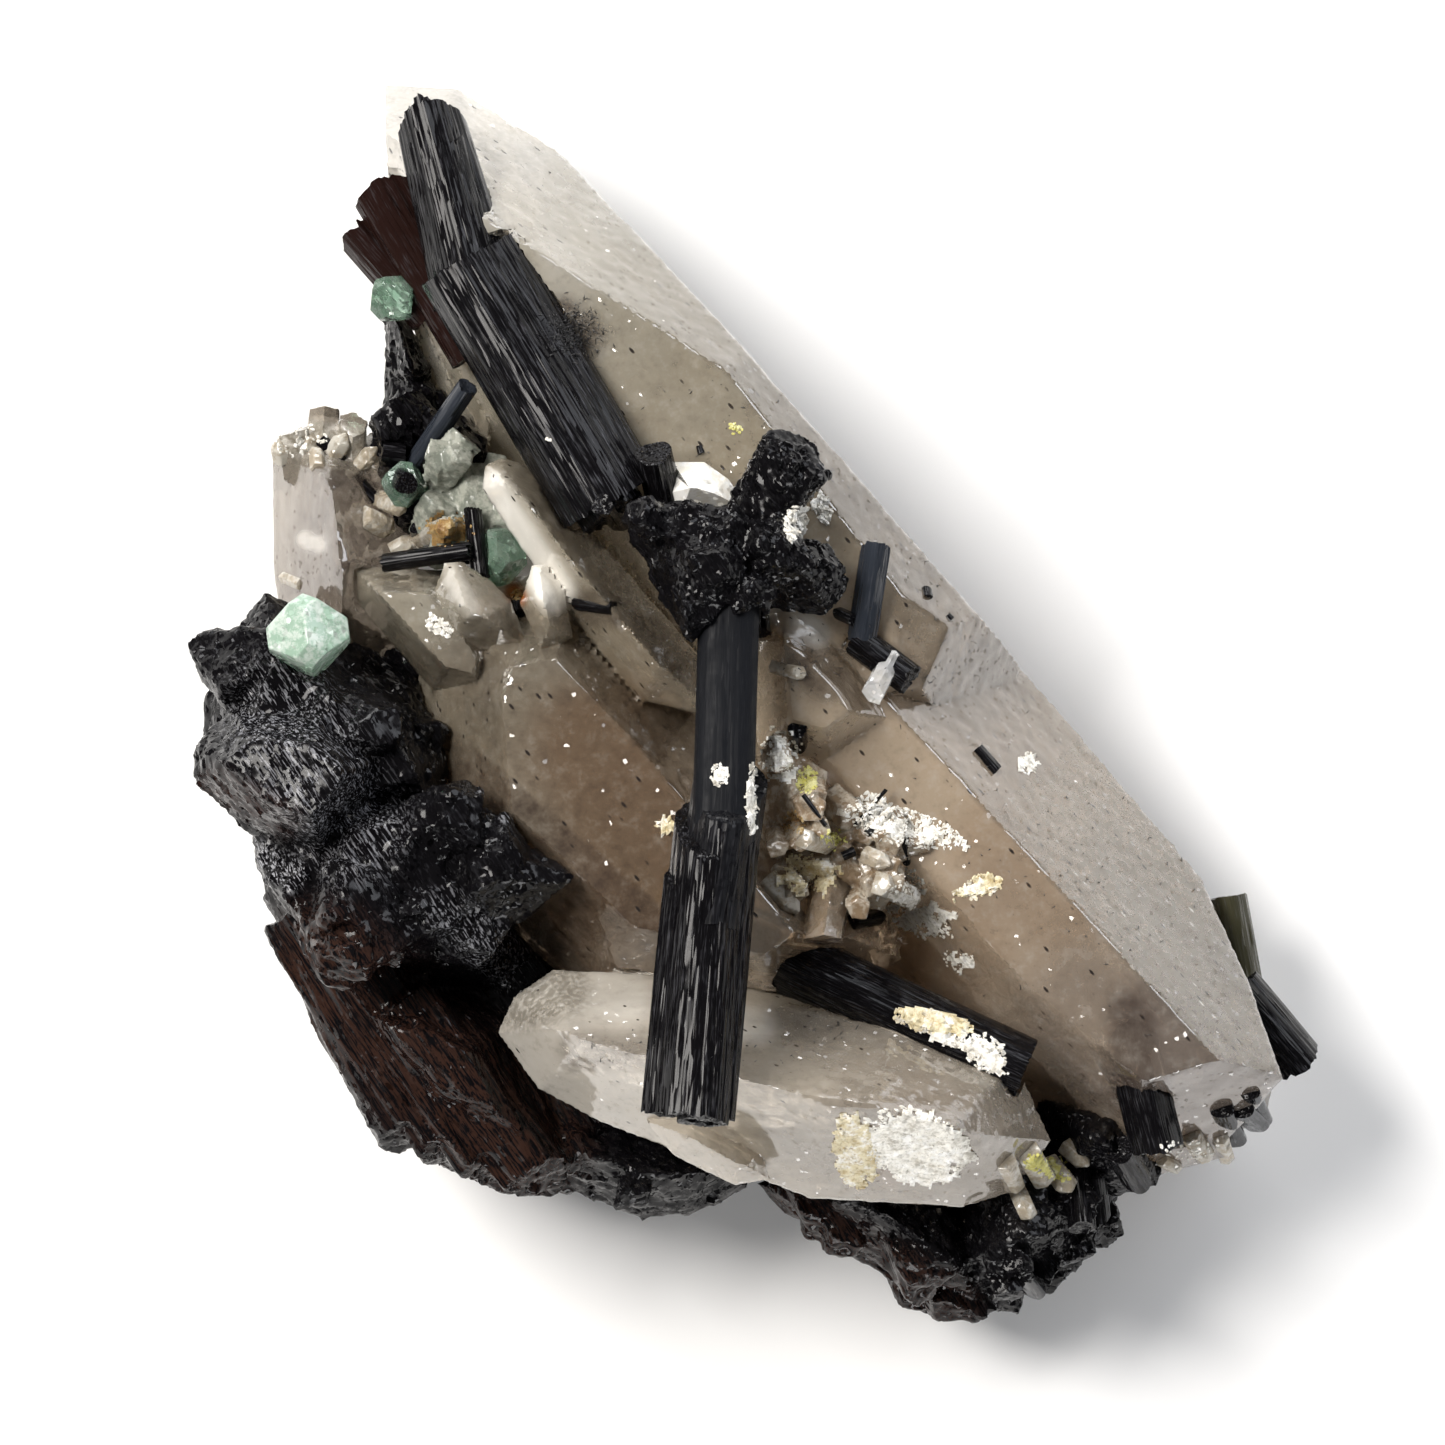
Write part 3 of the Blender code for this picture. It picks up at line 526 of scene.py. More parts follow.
def make_piece(name, bm, material, slot, replaced=(), fields=None, sharp=None):
    """Makes a bmesh in millimetres a finished piece on the specimen. Edges of sharp degrees stay crisp."""
    bmesh.ops.scale(bm, vec=(MM,) * 3, verts=bm.verts)
    mesh = mesh_of(name, bm)
    # The surface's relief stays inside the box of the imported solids.
    places = np.empty(3 * len(mesh.vertices), np.float32)
    mesh.vertices.foreach_get("co", places)
    mesh.vertices.foreach_set("co", np.clip(places.reshape(-1, 3), *CAD_BOX).ravel())
    mesh.shade_smooth()
    if sharp is not None:
        mesh.set_sharp_from_angle(angle=math.radians(sharp))
    for field, values in (fields or {}).items():
        attribute = mesh.attributes.new(field, "FLOAT", "POINT")
        attribute.data.foreach_set("value", np.asarray(values, np.float32))
    mesh.materials.append(material)
    piece = put(name, mesh)
    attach(piece, "root")
    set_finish(piece, slot)
    if replaced:
        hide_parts(*replaced)


def points_of(bm):
    """The place of every point of a bmesh, in its own units."""
    return np.array([vert.co for vert in bm.verts])


def normals_of(bm):
    """The normal at every point of a bmesh."""
    bm.normal_update()
    return np.array([vert.normal for vert in bm.verts])


def quartz_relief(point, normal):
    """Height of growth hillocks, faint steps across the prism and etching on the faces that look right."""
    # Heights and the sizes that a place is divided by are in millimetres.
    swell = 0.10 * noise.fractal(point / 7.0, 1.0, 2.0, 2)
    hills = 0.035 * noise.fractal(point / 1.1, 0.8, 2.1, 3)
    run = point.dot(MAIN_AXIS)
    steps = 0.03 * noise.noise(Vector((run / 0.9, 0.07 * point.x, 0.07 * point.y)))
    etched = max(0.0, normal.x + 0.5 * normal.y)
    return swell + hills + steps + 0.09 * etched * lumps(point, 0.6)


def schorl_relief(point, normal, ribs):
    """Height of broken, granular schorl, with ribs along the crystal in the share ribs."""
    place = MASS_TURN @ point
    streak = Vector((place.x, place.y, 0.05 * place.z))
    slivers = Vector((place.x, place.y, 0.5 * place.z))
    rough = 0.26 * broken(point, 2.4) + 0.18 * broken(slivers, 1.1) + 0.12 * broken(slivers, 0.5)
    lines = 0.55 * lumps(streak, 1.5) + 0.30 * lumps(streak, 0.6)
    return (1 - 0.8 * ribs) * rough + ribs * lines


class SPECIMEN_OT_smoky_quartz(bpy.types.Operator):
    """Make the large smoky crystal with the ones that share its body"""
    bl_idname = "specimen.smoky_quartz"
    bl_label = "Smoky Quartz"

    tip = Vector((-24.0, 43.0, 12.0))
    run = 88.0  # millimetres from the tip to the foot
    # The edge of the second crystal below which painted shade makes it darkest.
    bevel_edge = ((-18.3, -4.25), (-6.5, -14.3))
    # Zones of colour: two ends, a radius and a strength.
    amber = [
        ((-11, -3), (-7, -13), 7.5, 0.75),
        ((4, -17), (14, -17), 6, 0.35),
        ((17, -9.5), (21, -14), 5, 0.30),
    ]
    # Painted shade on the lower-left bevel of the second crystal, which faces away from the light.
    shade = [((-19, -9), (-8, -19.5), 11, 1)]
    smoke_and_shade = [
        ((-18, 2.5), (-9, -9), 8, 0.62),
        ((9, -17.5), (22, -24), 7, 0.06),
        ((-14, 27.5), (-12.4, 26.4), 2.5, 1),
        ((3.4, 3.4), (5, 2), 2.6, 0.95),
        ((26.5, -22), (27, -28), 2.6, 0.8),
        ((-14, 7.2), (-10, 7), 1.9, 0.75),
        ((0.6, 22), (2.2, 20.6), 2.2, 0.4),
        ((11, 6.8), (12.6, 4.4), 2.4, 0.5),
        ((-21, 6.8), (-12, 1), 3, 0.25),
    ]
    strip = [((-13, 14), (-3.5, 0.5), 2.6, 0.55)]
    rust = [
        ((-17.4, 8.3), (-17, 7.8), 0.9, 1),
        ((1.9, -8), (2.8, -8.8), 0.8, 0.6),
    ]
    milk = [
        ((-19.2, 15.4), (-14.4, 8.2), 2.1, 0.95),
        ((-22, 10), (-20.4, 7), 1, 0.35),
        ((0.8, 7), (4.2, 5.2), 1.5, 0.7),
    ]

    def execute(self, context):
        settings = context.scene.specimen_quartz
        bm = even_net("quartz_main", settings.net, crisp=True)
        normals = normals_of(bm)
        shift(bm, quartz_relief)
        points = points_of(bm)
        along = (points - np.array(self.tip)) @ np.array(MAIN_AXIS) / self.run
        # The faces that look right are etched, most at the crystal's foot, where they are frosted; at its
        # waist they are also darkened with painted shade in the smoke colour.
        right = smooth_step(normals @ np.array((0.85, 0.45, 0.1)), 0.25, 0.62)
        foot = smooth_step(along, 0.55, 0.95)
        waist = smooth_step(along, 0.15, 0.45) * (1 - 0.6 * foot)
        # Below the edge of the second crystal, by 0.2 mm or more, its painted shade is laid on in full, in the
        # smoke colour.
        edge_start, edge_end = (np.array(end) for end in self.bevel_edge)
        edge = edge_end - edge_start
        depth = (points[:, :2] - edge_start) @ np.array((edge[1], -edge[0])) / np.linalg.norm(edge)
        bevel = smooth_step(depth, -0.2, 0.2)
        ramp = [(0.0, settings.tip), (0.20, linear("BDB6A5")), (0.42, settings.body),
                (0.72, settings.foot), (1.0, linear("8A7E74"))]
        material = quartz_material("smoky quartz", ramp, settings, density=18.0, specked=0.30)
        fields = zones(points, self, "amber", "smoke_and_shade", "rust", "milk")
        shade, strip = zones(points, self, "shade", "strip").values()
        fields["along"] = along
        fields["frost"] = np.maximum(right * (0.15 + 0.80 * foot), strip)
        # Painted shade joins the smoke field here: on right-facing faces at the waist, and below the second
        # crystal's edge.
        fields["smoke_and_shade"] = np.maximum.reduce([fields["smoke_and_shade"], 0.85 * right * waist, bevel * shade])
        make_piece("smoky_quartz_crystals", bm, material, "smoky_quartz", ["quartz_main"], fields, sharp=35)
        return {"FINISHED"}


class SPECIMEN_OT_pale_quartz(bpy.types.Operator):
    """Make the pale crystals at the left edge and across the foot"""
    bl_idname = "specimen.pale_quartz"
    bl_label = "Pale Quartz"

    smoke_and_shade = [
        ((-31, 8), (-29.4, 15), 4.6, 0.80),
        ((-13, -24.3), (-8, -24.6), 1.9, 0.55),
        ((2, -22.6), (12, -25), 2.4, 0.35),
        ((7, -28.5), (13, -29), 3, 0.3),
    ]
    frost = [
        ((-33, 19), (-27.5, 18.6), 2.6, 1),
        ((-17, -21), (-14, -20), 3, 0.7),
        ((15, -24.5), (19, -29), 2.4, 0.7),
    ]
    rust = [((8, -31.5), (9.5, -33), 1.6, 0.12)]
    milk = [
        ((-16, -19.4), (-9.5, -20.6), 2.8, 0.4),
        ((-5, -22.4), (0, -22.6), 2, 0.4),
        ((-33.4, 19.4), (-28.6, 18.8), 1.8, 0.7),
        ((-32.4, 12), (-31.4, 11.6), 0.9, 0.5),
    ]

    def execute(self, context):
        settings = context.scene.specimen_quartz
        ramp = [(0.0, settings.pale), (0.45, linear("D8CDBB")), (1.0, linear("A2978A"))]
        material = quartz_material("pale quartz", ramp, settings, density=10.0, specked=0.14)
        # Each crystal runs through its own part of the ramp of colours.
        for node, name, first in (("quartz_left", "left_quartz_crystal", 0.85),
                                  ("quartz_lower", "lower_quartz_crystal", 0.0)):
            low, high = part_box(node)
            bm = even_net(node, 0.8 * settings.net, crisp=True)
            shift(bm, quartz_relief)
            points = points_of(bm)
            fields = zones(points, self, "smoke_and_shade", "frost", "rust", "milk")
            fields["along"] = first + (1 - first) * (points[:, 0] * MM - low.x) / (high.x - low.x)
            make_piece(name, bm, material, "pale_quartz", [node], fields, sharp=35)
        return {"FINISHED"}


class SPECIMEN_OT_clear_quartz(bpy.types.Operator):
    """Make the white and the clear small crystals"""
    bl_idname = "specimen.clear_quartz"
    bl_label = "White and Clear Crystals"

    def execute(self, context):
        white = glassy_material("white quartz", linear("FBFAF6"), linear("E9E4D8"), clear=0.10, rough=0.12)
        clear = glassy_material("clear quartz", linear("F6F5F2"), linear("FFFFFF"), clear=0.70, rough=0.06)
        make_piece("white_quartz_crystal", solid_copy("white_crystal", edge=0.08), white, "clear_quartz",
                   ["white_crystal"], sharp=25)
        make_piece("clear_quartz_chip", solid_copy("clear_chip", edge=0.05), clear, "clear_quartz",
                   ["clear_chip"], sharp=25)
        return {"FINISHED"}


def ribbed_prism(start, end, width, rib, sides, seed, taper=1.0, tilt=(0, 0), turn=0.0, chip=0.25, calm=0.0,
                 step=0.5):
    """A schorl prism: a rounded triangle in section, ribbed along its length, its ends broken.

    Taper is the end's width as a share of the start's, tilt the slope of the two ends and turn the angle of
    a corner, in degrees. Chip is how deep the ends are broken, and calm how smooth the sides are, up to 1.
    Sides is how many points go round it, and step the millimetres from one to the next along it.
    """
    corners = 0.09  # how far the corners stand out, as a share of the radius
    bm = bmesh.new()
    place = bm.verts.layers.float_vector.new("axis_place")
    calmness = bm.verts.layers.float.new("calm")
    run = (Vector(end) - Vector(start)).length
    radius = width / 2 + HANDOVER
    bmesh.ops.create_circle(bm, cap_ends=True, segments=sides, radius=radius)
    tube = bmesh.ops.extrude_face_region(bm, geom=bm.faces[:])
    bmesh.ops.translate(bm, vec=(0, 0, run), verts=made(tube, bmesh.types.BMVert))
    long_edges = [edge for edge in bm.edges
                  if abs(edge.verts[0].co.z - edge.verts[1].co.z) > run / 2]
    bmesh.ops.subdivide_edges(bm, edges=long_edges, cuts=max(3, round(run / step)), use_grid_fill=True)
    # Four rings in each end give its broken face points to move.
    for cap in [face for face in bm.faces if len(face.verts) == sides]:
        for _ in range(4):
            bmesh.ops.inset_region(bm, faces=[cap], thickness=0.19 * radius, use_even_offset=False)
        bmesh.ops.poke(bm, faces=[cap])
    offset = Vector((17.0 * seed, 5.0 * seed, 0.0))
    leans = [math.tan(math.radians(angle)) for angle in tilt]
    for vert in bm.verts:
        x, y, z = vert.co
        angle = math.atan2(y, x)
        bulge = 1 + corners * math.cos(3 * (angle - math.radians(turn)))
        # The ribs are lumps that are drawn out along the prism.
        streak = Vector((x, y, 0.03 * z)) + offset
        wave = 0.8 * lumps(streak, 0.85) + 0.9 * lumps(streak, 0.34)
        spread = (bulge + (1 - 0.9 * calm) * rib / MM * wave / radius) * (1 + (taper - 1) * z / run)
        # Near each end the points also move along the prism, so that the end slopes and is chipped.
        for level, sign, lean in ((0.0, -1, leans[0]), (run, 1, leans[1])):
            reach = max(1.2, abs(lean) * width)
            share = max(0.0, 1 - abs(z - level) / reach)
            if share > 0:
                grain = Vector((x, y, 0)) + offset
                drop = lean * x + chip * (broken(grain, 1.1) + 0.5 * broken(grain, 0.5)) - 0.5 * chip
                vert.co.z += sign * share * drop
        vert.co.x = x * spread
        vert.co.y = y * spread
        vert[place] = vert.co * MM
        vert[calmness] = calm
    bmesh.ops.transform(bm, matrix=axis_frame(start, end), verts=bm.verts)
    bmesh.ops.recalc_face_normals(bm, faces=bm.faces)
    return bm


def joined(parts):
    """Several bmeshes as one, each with its places along its axis and its calmness kept."""
    whole = bmesh.new()
    whole.verts.layers.float_vector.new("axis_place")
    whole.verts.layers.float.new("calm")
    for part in parts:
        mesh = mesh_of("part", part)
        whole.from_mesh(mesh)
        bpy.data.meshes.remove(mesh)
    return whole


class SPECIMEN_OT_schorl_prisms(bpy.types.Operator):
    """Make the striated prisms"""
    bl_idname = "specimen.schorl_prisms"
    bl_label = "Schorl Prisms"

    # Each piece's prisms: start, end, width and what else ribbed_prism takes.
    prisms = {
        "schorl_front": [
            ((-2, 8.6, 32.2), (-2.6, -13, 34.8), 3.7, dict(turn=60, seed=41, calm=0.85)),
            ((-3, -8.4, 34.2), (-4.8, -28.9, 38), 5.5, dict(tilt=(-42, 8), turn=15, seed=42)),
            ((-2, -5.6, 33.6), (-3.4, -16, 36), 4.6, dict(tilt=(-50, 0), seed=43, calm=0.3)),
            ((-2.4, -7.4, 35), (-3.9, -29.3, 39.4), 3, dict(tilt=(-40, 0), seed=44)),
            ((-5, -12, 35), (-6.7, -28.7, 37.4), 2.6, dict(tilt=(-40, 12), seed=45)),
        ],
        "schorl_upper": [
            ((-20.9, 31.9, 23.6), (-10.6, 14.4, 27.2), 7.1, dict(tilt=(-10, 12), turn=20, seed=3)),
            ((-20, 29, 23.6), (-23.3, 41.6, 21.6), 5.6, dict(taper=0.78, tilt=(0, 24), seed=8)),
            ((-18.6, 26.4, 25.6), (-10.2, 13.6, 28.2), 4.3, dict(seed=6)),
            ((-20.6, 28.5, 24.4), (-23.9, 42.7, 22.4), 2.2, dict(chip=0.5, tilt=(0, 30), seed=12)),
            ((-19.3, 29.2, 24.6), (-22.3, 40.6, 22.8), 2.2, dict(chip=0.5, tilt=(0, -25), seed=13)),
        ],
        "schorl_reddish": [
            ((-26.7, 36.4, 18.6), (-20, 25.2, 18.2), 3.8, dict(tilt=(35, 0), turn=40, seed=21)),
            ((-28.6, 33.9, 18.2), (-23.4, 27.9, 18), 2.5, dict(tilt=(25, 0), seed=22)),
        ],
        "schorl_stub": [((-7.4, 18, 29.4), (-6.6, 14.6, 26.5), 2.1, dict(seed=101, chip=0.08))],
        "schorl_diagonal": [
            ((-1.5, -16.4, 23.6), (19, -26, 23.4), 4.2, dict(tilt=(25, 0), seed=102))],
        "schorl_olive": [((33.8, -13.6, 9.6), (35.4, -22.6, 9.6), 2.3, dict(seed=103, chip=0.12))],
        "schorl_end": [((34.4, -20.2, 12.6), (38.9, -25.6, 12.2), 3.2, dict(tilt=(0, 18), seed=104))],
        "schorl_blue": [((8.4, 11.4, 27), (7.4, 4.6, 25.4), 1.6, dict(tilt=(25, 0), seed=105))],
        "schorl_short": [((6.9, 4.9, 25.4), (10.9, 1.9, 25.4), 1.8, dict(tilt=(10, -15), seed=106))],
        "schorl_rod": [((-26.8, 10.25, 22.6), (-20.3, 11.15, 24.6), 0.8, dict(seed=107))],
        "schorl_slim": [((-24.6, 17.2, 19.2), (-20.6, 22.9, 23.6), 1, dict(seed=108))],
        "schorl_needle": [((-20.3, 14, 22.6), (-19.7, 9.2, 24), 0.8, dict(seed=109))],
        "schorl_base": [((28.6, -31.6, 21.6), (26.6, -23.8, 21.4), 3.2, dict(tilt=(12, 40), seed=110))],
    }
    other_finishes = {
        "schorl_reddish": ("reddish_schorl", "reddish"),
        "schorl_olive": ("olive_schorl", "olive"),
        "schorl_blue": ("blue_schorl", "blue"),
        "schorl_slim": ("blue_schorl", "blue"),
    }

    def execute(self, context):
        settings = context.scene.specimen_schorl
        shades = {"schorl": schorl_material("schorl", settings.black)}
        for slot, colour in self.other_finishes.values():
            if slot not in shades:
                shades[slot] = schorl_material(slot.replace("_", " "), getattr(settings, colour), gleam=0.2)
        for node, parts in self.prisms.items():
            sides = 120 if node in ("schorl_front", "schorl_upper") else 60
            bm = joined([
                ribbed_prism(start, end, width, settings.rib * min(1.0, width / 4), sides, **more)
                for start, end, width, more in parts])
            slot = self.other_finishes.get(node, ("schorl",))[0]
            make_piece(node + "_prism", bm, shades[slot], slot, [node], sharp=50)
        return {"FINISHED"}


class SPECIMEN_OT_schorl_masses(bpy.types.Operator):
    """Make the broken, granular masses of schorl"""
    bl_idname = "specimen.schorl_masses"
    bl_label = "Schorl Masses"

    # Where the left mass gets painted silver glints, and where thin ribs let brown light through, as zones:
    # two ends, a radius and a strength.
    painted_silver_glints = [((-34, -0.5), (-29, -8.5), 5.5, 0.4), ((-36, -10.5), (-33, -12), 1.6, 0.7),
              ((-20, -4), (-17.5, -7.5), 1.2, 0.5), ((-22, -14.5), (-18, -18), 2.4, 0.35)]
    brown = [((-31, -19), (-17, -31), 7, 1), ((-38.5, -5.5), (-33.5, -8), 2, 0.8),
             ((2, -36), (14, -43), 3, 0.8)]
    # Node, name, spacing as a share of the setting and where the mass is ribbed, given as the zones are.
    masses = [
        ("schorl_left", "left_schorl_mass", 1,
         [((-31, -19), (-17, -32), 7.5, 1), ((-34, -0.5), (-29, -8.5), 5.5, 0.7)]),
        ("schorl_lower_right", "lower_right_schorl_mass", 0.8, [((2, -36), (14, -43), 3, 0.8)]),
        ("schorl_knot", "schorl_knot_mass", 0.7, []),
        ("schorl_hollow", "hollow_schorl_mass", 0.9, []),
    ]

    def execute(self, context):
        settings = context.scene.specimen_schorl
        material = schorl_material("broken schorl", settings.black, cell=0.24, lean=0.85, stretch=0.45,
                                   share=0.20, line=0.20, gleam=0.10, shine=0.10)
        for node, name, share, ribbed in self.masses:
            bm = even_net(node, share * settings.net)
            layer = bm.verts.layers.float_vector.new("axis_place")
            shift(bm, schorl_relief, near_marks(points_of(bm), ribbed))
            for vert in bm.verts:
                vert[layer] = (MASS_TURN @ vert.co) * MM
            make_piece(name, bm, material, "schorl", [node],
                       zones(points_of(bm), self, "painted_silver_glints", "brown"), sharp=26)
        return {"FINISHED"}


class SPECIMEN_OT_fluorites(bpy.types.Operator):
    """Make the small green crystals"""
    bl_idname = "specimen.fluorites"
    bl_label = "Fluorites"

    def execute(self, context):
        settings = context.scene.specimen_crust
        pale = glassy_material("pale green fluorite", settings.fluorite, linear("E2EEE5"), clear=0.40,
                               rough=0.14, ior=FLUORITE_IOR, cloud=0.9)
        deep = glassy_material("green fluorite", settings.deep, linear("B9D0C0"), clear=0.75, rough=0.08,
                               ior=FLUORITE_IOR)
        for node in ("fluorite_large", "fluorite_top", "fluorite_middle", "fluorite_hollow"):
            make_piece(node + "_crystal", solid_copy(node, edge=0.10),
                       pale if node == "fluorite_large" else deep, "green_fluorite", [node], sharp=25)
        return {"FINISHED"}


class SPECIMEN_OT_crusts(bpy.types.Operator):
    """Make the beds of crust in the hollow and beside the long prism"""
    bl_idname = "specimen.crusts"
    bl_label = "Crusts"

    def execute(self, context):
        settings = context.scene.specimen_crust
        front = glassy_material("stained quartz crust", linear("9C866C"), linear("CFC4B2"), clear=0.40,
                                rough=0.20)
        hollow = glassy_material("grey quartz crust", settings.grey, linear("B9BBAF"), clear=0.30,
                                 rough=0.22)
        for node, name, material, slot in (
                ("crust_front", "front_crust_bed", front, "pale_crust"),
                ("crust_hollow", "hollow_crust_bed", hollow, "grey_crust")):
            bm = even_net(node, 0.20 * MM, crisp=True)
            shift(bm, lambda point, normal: 0.06 * broken(point, 0.8))
            make_piece(name, bm, material, slot, [node])
        return {"FINISHED"}


def ground():
    """For each finished piece so far, its footprint and a tree that finds where a line meets its surface."""
    graph = bpy.context.evaluated_depsgraph_get()
    found = []
    for piece in bpy.context.scene.objects:
        if piece.type == "MESH" and "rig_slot" in piece:
            low, high = Vector(piece.bound_box[0]) / MM, Vector(piece.bound_box[6]) / MM
            found.append((low, high, BVHTree.FromObject(piece, graph)))
    return found


def land(trees, x, y):
    """Where a grain let fall at x, y comes to rest, and the surface's normal there, in millimetres."""
    best = None
    for low, high, tree in trees:
        if low.x < x < high.x and low.y < y < high.y:
            place, normal, _, _ = tree.ray_cast(Vector((x, y, OVERHEAD)) * MM, Vector((0, 0, -1)))
            if place and (best is None or place.z > best[0].z):
                best = (place, normal)
    return (best[0] / MM, best[1]) if best else None


def quartz_point(start, end, width, seed):
    """A small six-sided quartz crystal with a pointed end, its edges worn."""
    rng = random.Random(seed)
    bm = bmesh.new()
    run = (Vector(end) - Vector(start)).length
    bmesh.ops.create_circle(bm, cap_ends=True, segments=6, radius=width / 2)
    body = bmesh.ops.extrude_face_region(bm, geom=bm.faces[:])
    # The point starts 0.35 to 0.6 of the width below the end, and is a little blunt.
    for vert in made(body, bmesh.types.BMVert):
        vert.co.z += run - width * rng.uniform(0.35, 0.6)
    top = made(body, bmesh.types.BMFace)
    for vert in made(bmesh.ops.extrude_face_region(bm, geom=top), bmesh.types.BMVert):
        vert.co = (0.16 * vert.co.x, 0.16 * vert.co.y, run)
    bmesh.ops.delete(bm, geom=top, context="FACES")
    bmesh.ops.bevel(bm, geom=bm.edges[:], offset=0.05 * width, affect="EDGES", segments=2, profile=0.5,
                    material=-1, clamp_overlap=True)
    turn = Matrix.Rotation(rng.uniform(0, 1), 4, "Z")
    bmesh.ops.transform(bm, matrix=axis_frame(start, end) @ turn, verts=bm.verts)
    bmesh.ops.recalc_face_normals(bm, faces=bm.faces)
    return bm


def standing(trees, spot, width):
    """The two ends, in space, of a crystal given by its ends on the front. It rests on what is below it."""
    ends = []
    for x, y, lift in (spot[:3], spot[3:]):
        rest = land(trees, x, y)
        level = rest[0].z if rest else UNPROPPED
        ends.append((x, y, level + lift + (0.5 - SUNK) * width))
    return ends


class SPECIMEN_OT_small_crystals(bpy.types.Operator):
    """Make the small black and pale crystals that stand on the larger ones"""
    bl_idname = "specimen.small_crystals"
    bl_label = "Small Crystals"

    # Ends on the front, each with its height above what is below it, and the width.
    schorls = [
        ((15.6, -3, -0.4, 17, -4.6, -0.3), 1.1),
        ((-31.3, 19.2, -0.2, -27.4, 14.8, 0), 1),
        ((-12.9, 7.4, -0.3, -10.2, 7, -0.3), 1),
        ((-11, 14.3, 0, -9.8, 13.2, 0.3), 1.5),
        ((0.2, 6.4, 0, 0.3, 5.2, 0.8), 1.3),
        ((5.7, 6.7, 0, 6.8, 6.2, 0.2), 0.9),
        ((2.9, -2.7, 0, 2.8, -1.6, 0.7), 1.35),
        ((3.2, -6.2, 0.6, 4.8, -8.4, 0.1), 0.35),
        ((6.9, -8.4, 0.1, 9.1, -5.9, 1), 0.30),
        ((7.4, -7.9, 0.2, 8.7, -7.2, 0.7), 0.45),
        ((7.7, -9, 0.2, 9.4, -7.4, 0.5), 0.5),
        ((6.7, -15.3, 0.1, 8.6, -15, 0.4), 1.2),
        ((10.4, -9.4, 0, 10.6, -11, 0.2), 0.7),
        ((-24.4, 12.8, 0.4, -24.2, 11.3, 0.8), 0.9),
        ((-26.9, 18.2, 0, -25.4, 18, 0.6), 1.9),
        ((-26.4, 17, 0, -25, 15.9, 0.4), 1.6),
        ((-17.2, 7.6, 0, -16.9, 6.6, 0.3), 0.9),
        ((12, 8.4, -0.3, 12.1, 7.8, -0.2), 0.8),
        ((13.5, 6.5, -0.3, 13.8, 6.2, -0.2), 0.6),
        ((34.6, -28.6, -0.6, 36, -29.8, -0.8), 1.8),
        ((-4.2, 18.6, -0.2, -4, 18, 0), 0.5),
        ((6, -10.6, 0, 6.9, -10.2, 0.3), 0.7),
        ((18.2, -39.6, -0.2, 20, -41.8, 0.4), 1.6),
        ((22.8, -33, -0.2, 23.2, -37.2, 0.1), 2),
        ((24.2, -33.4, -0.2, 24.6, -36.6, 0), 1.5),
        ((25.8, -31.6, -0.2, 27.2, -33.8, 0.1), 2.2),
        ((33.2, -28.6, -0.3, 34.4, -31, 0.1), 1.7),
        ((35.2, -27.4, -0.5, 36.4, -29.6, -0.3), 1.4),
    ]
    # The same for quartz.
    quartzes = [
        ((-28.2, 13.6, -0.4, -26, 12.6, 0.8), 1.9),
        ((-27.2, 14.9, -0.4, -25.3, 14.2, 0.9), 1.5),
        ((-24.4, 12, 0, -21.8, 12.9, 0.9), 1.7),
        ((-26.2, 11.2, 0, -24.6, 12.1, 0.6), 1.3),
        ((-32.6, 8.8, -0.6, -34.2, 9.4, -0.4), 1),
        ((3.2, -9.3, 0, 5.1, -9.8, 0.4), 1.6),
        ((7.6, -10.5, 0, 9.4, -11.2, 0.5), 1.5),
        ((8.6, -12.5, 0, 11.2, -13.7, 0.6), 1.9),
        ((0.6, -12.2, -0.3, 2.9, -14.6, 0.4), 2.2),
        ((1.1, 2.9, 0, 3.4, 2.3, 0.4), 1.1),
        ((17.6, -32.2, -0.3, 18.4, -34.4, 0.7), 1.7),
        ((19.2, -31.6, -0.3, 20.6, -34, 0.9), 2),
        ((20.9, -32.6, -0.3, 22.4, -34.6, 0.8), 1.8),
        ((22, -31.4, -0.3, 23.7, -32.8, 0.9), 1.6),
        ((18.6, -34.6, -0.3, 19.4, -36.4, 0.6), 1.5),
        ((29, -32.4, -0.2, 30.4, -33.2, 0.4), 1.2),
        ((31, -30.6, -0.2, 32.4, -32.6, 0.4), 1.6),
        ((33.2, -30.8, -0.2, 33.8, -32.6, 0.3), 1.3),
        ((-34, 17.6, -0.8, -34.3, 19.2, -0.3), 1.5),
        ((-32.4, 18.2, -0.8, -32, 19.9, -0.3), 1.7),
        ((-30.4, 18, -0.8, -29.4, 19.6, -0.2), 1.6),
        ((-28.6, 17.2, -0.8, -27.2, 18.6, -0.2), 1.4),
        ((-31.4, 17, -0.7, -31.6, 18.6, -0.1), 1.2),
    ]

    def execute(self, context):
        trees = ground()
        settings = context.scene.specimen_schorl
        dark = []
        for number, (spot, width) in enumerate(self.schorls):
            start, end = standing(trees, spot, width)
            dark.append(ribbed_prism(start, end, width - 2 * HANDOVER, 0.03 * MM, sides=24,
                                     seed=200 + number, tilt=(0, 12), chip=0.08, step=0.6))
        make_piece("small_schorl_crystals", joined(dark),
                   schorl_material("small schorl", settings.black), "schorl", sharp=40)
        pale = [quartz_point(*standing(trees, spot, width), width, 300 + number)
                for number, (spot, width) in enumerate(self.quartzes)]
        frosted = glassy_material("small quartz", linear("C9BCA6"), linear("EEE9DD"), clear=0.50, rough=0.12)
        make_piece("small_quartz_crystals", joined(pale), frosted, "clear_quartz", sharp=30)
        return {"FINISHED"}


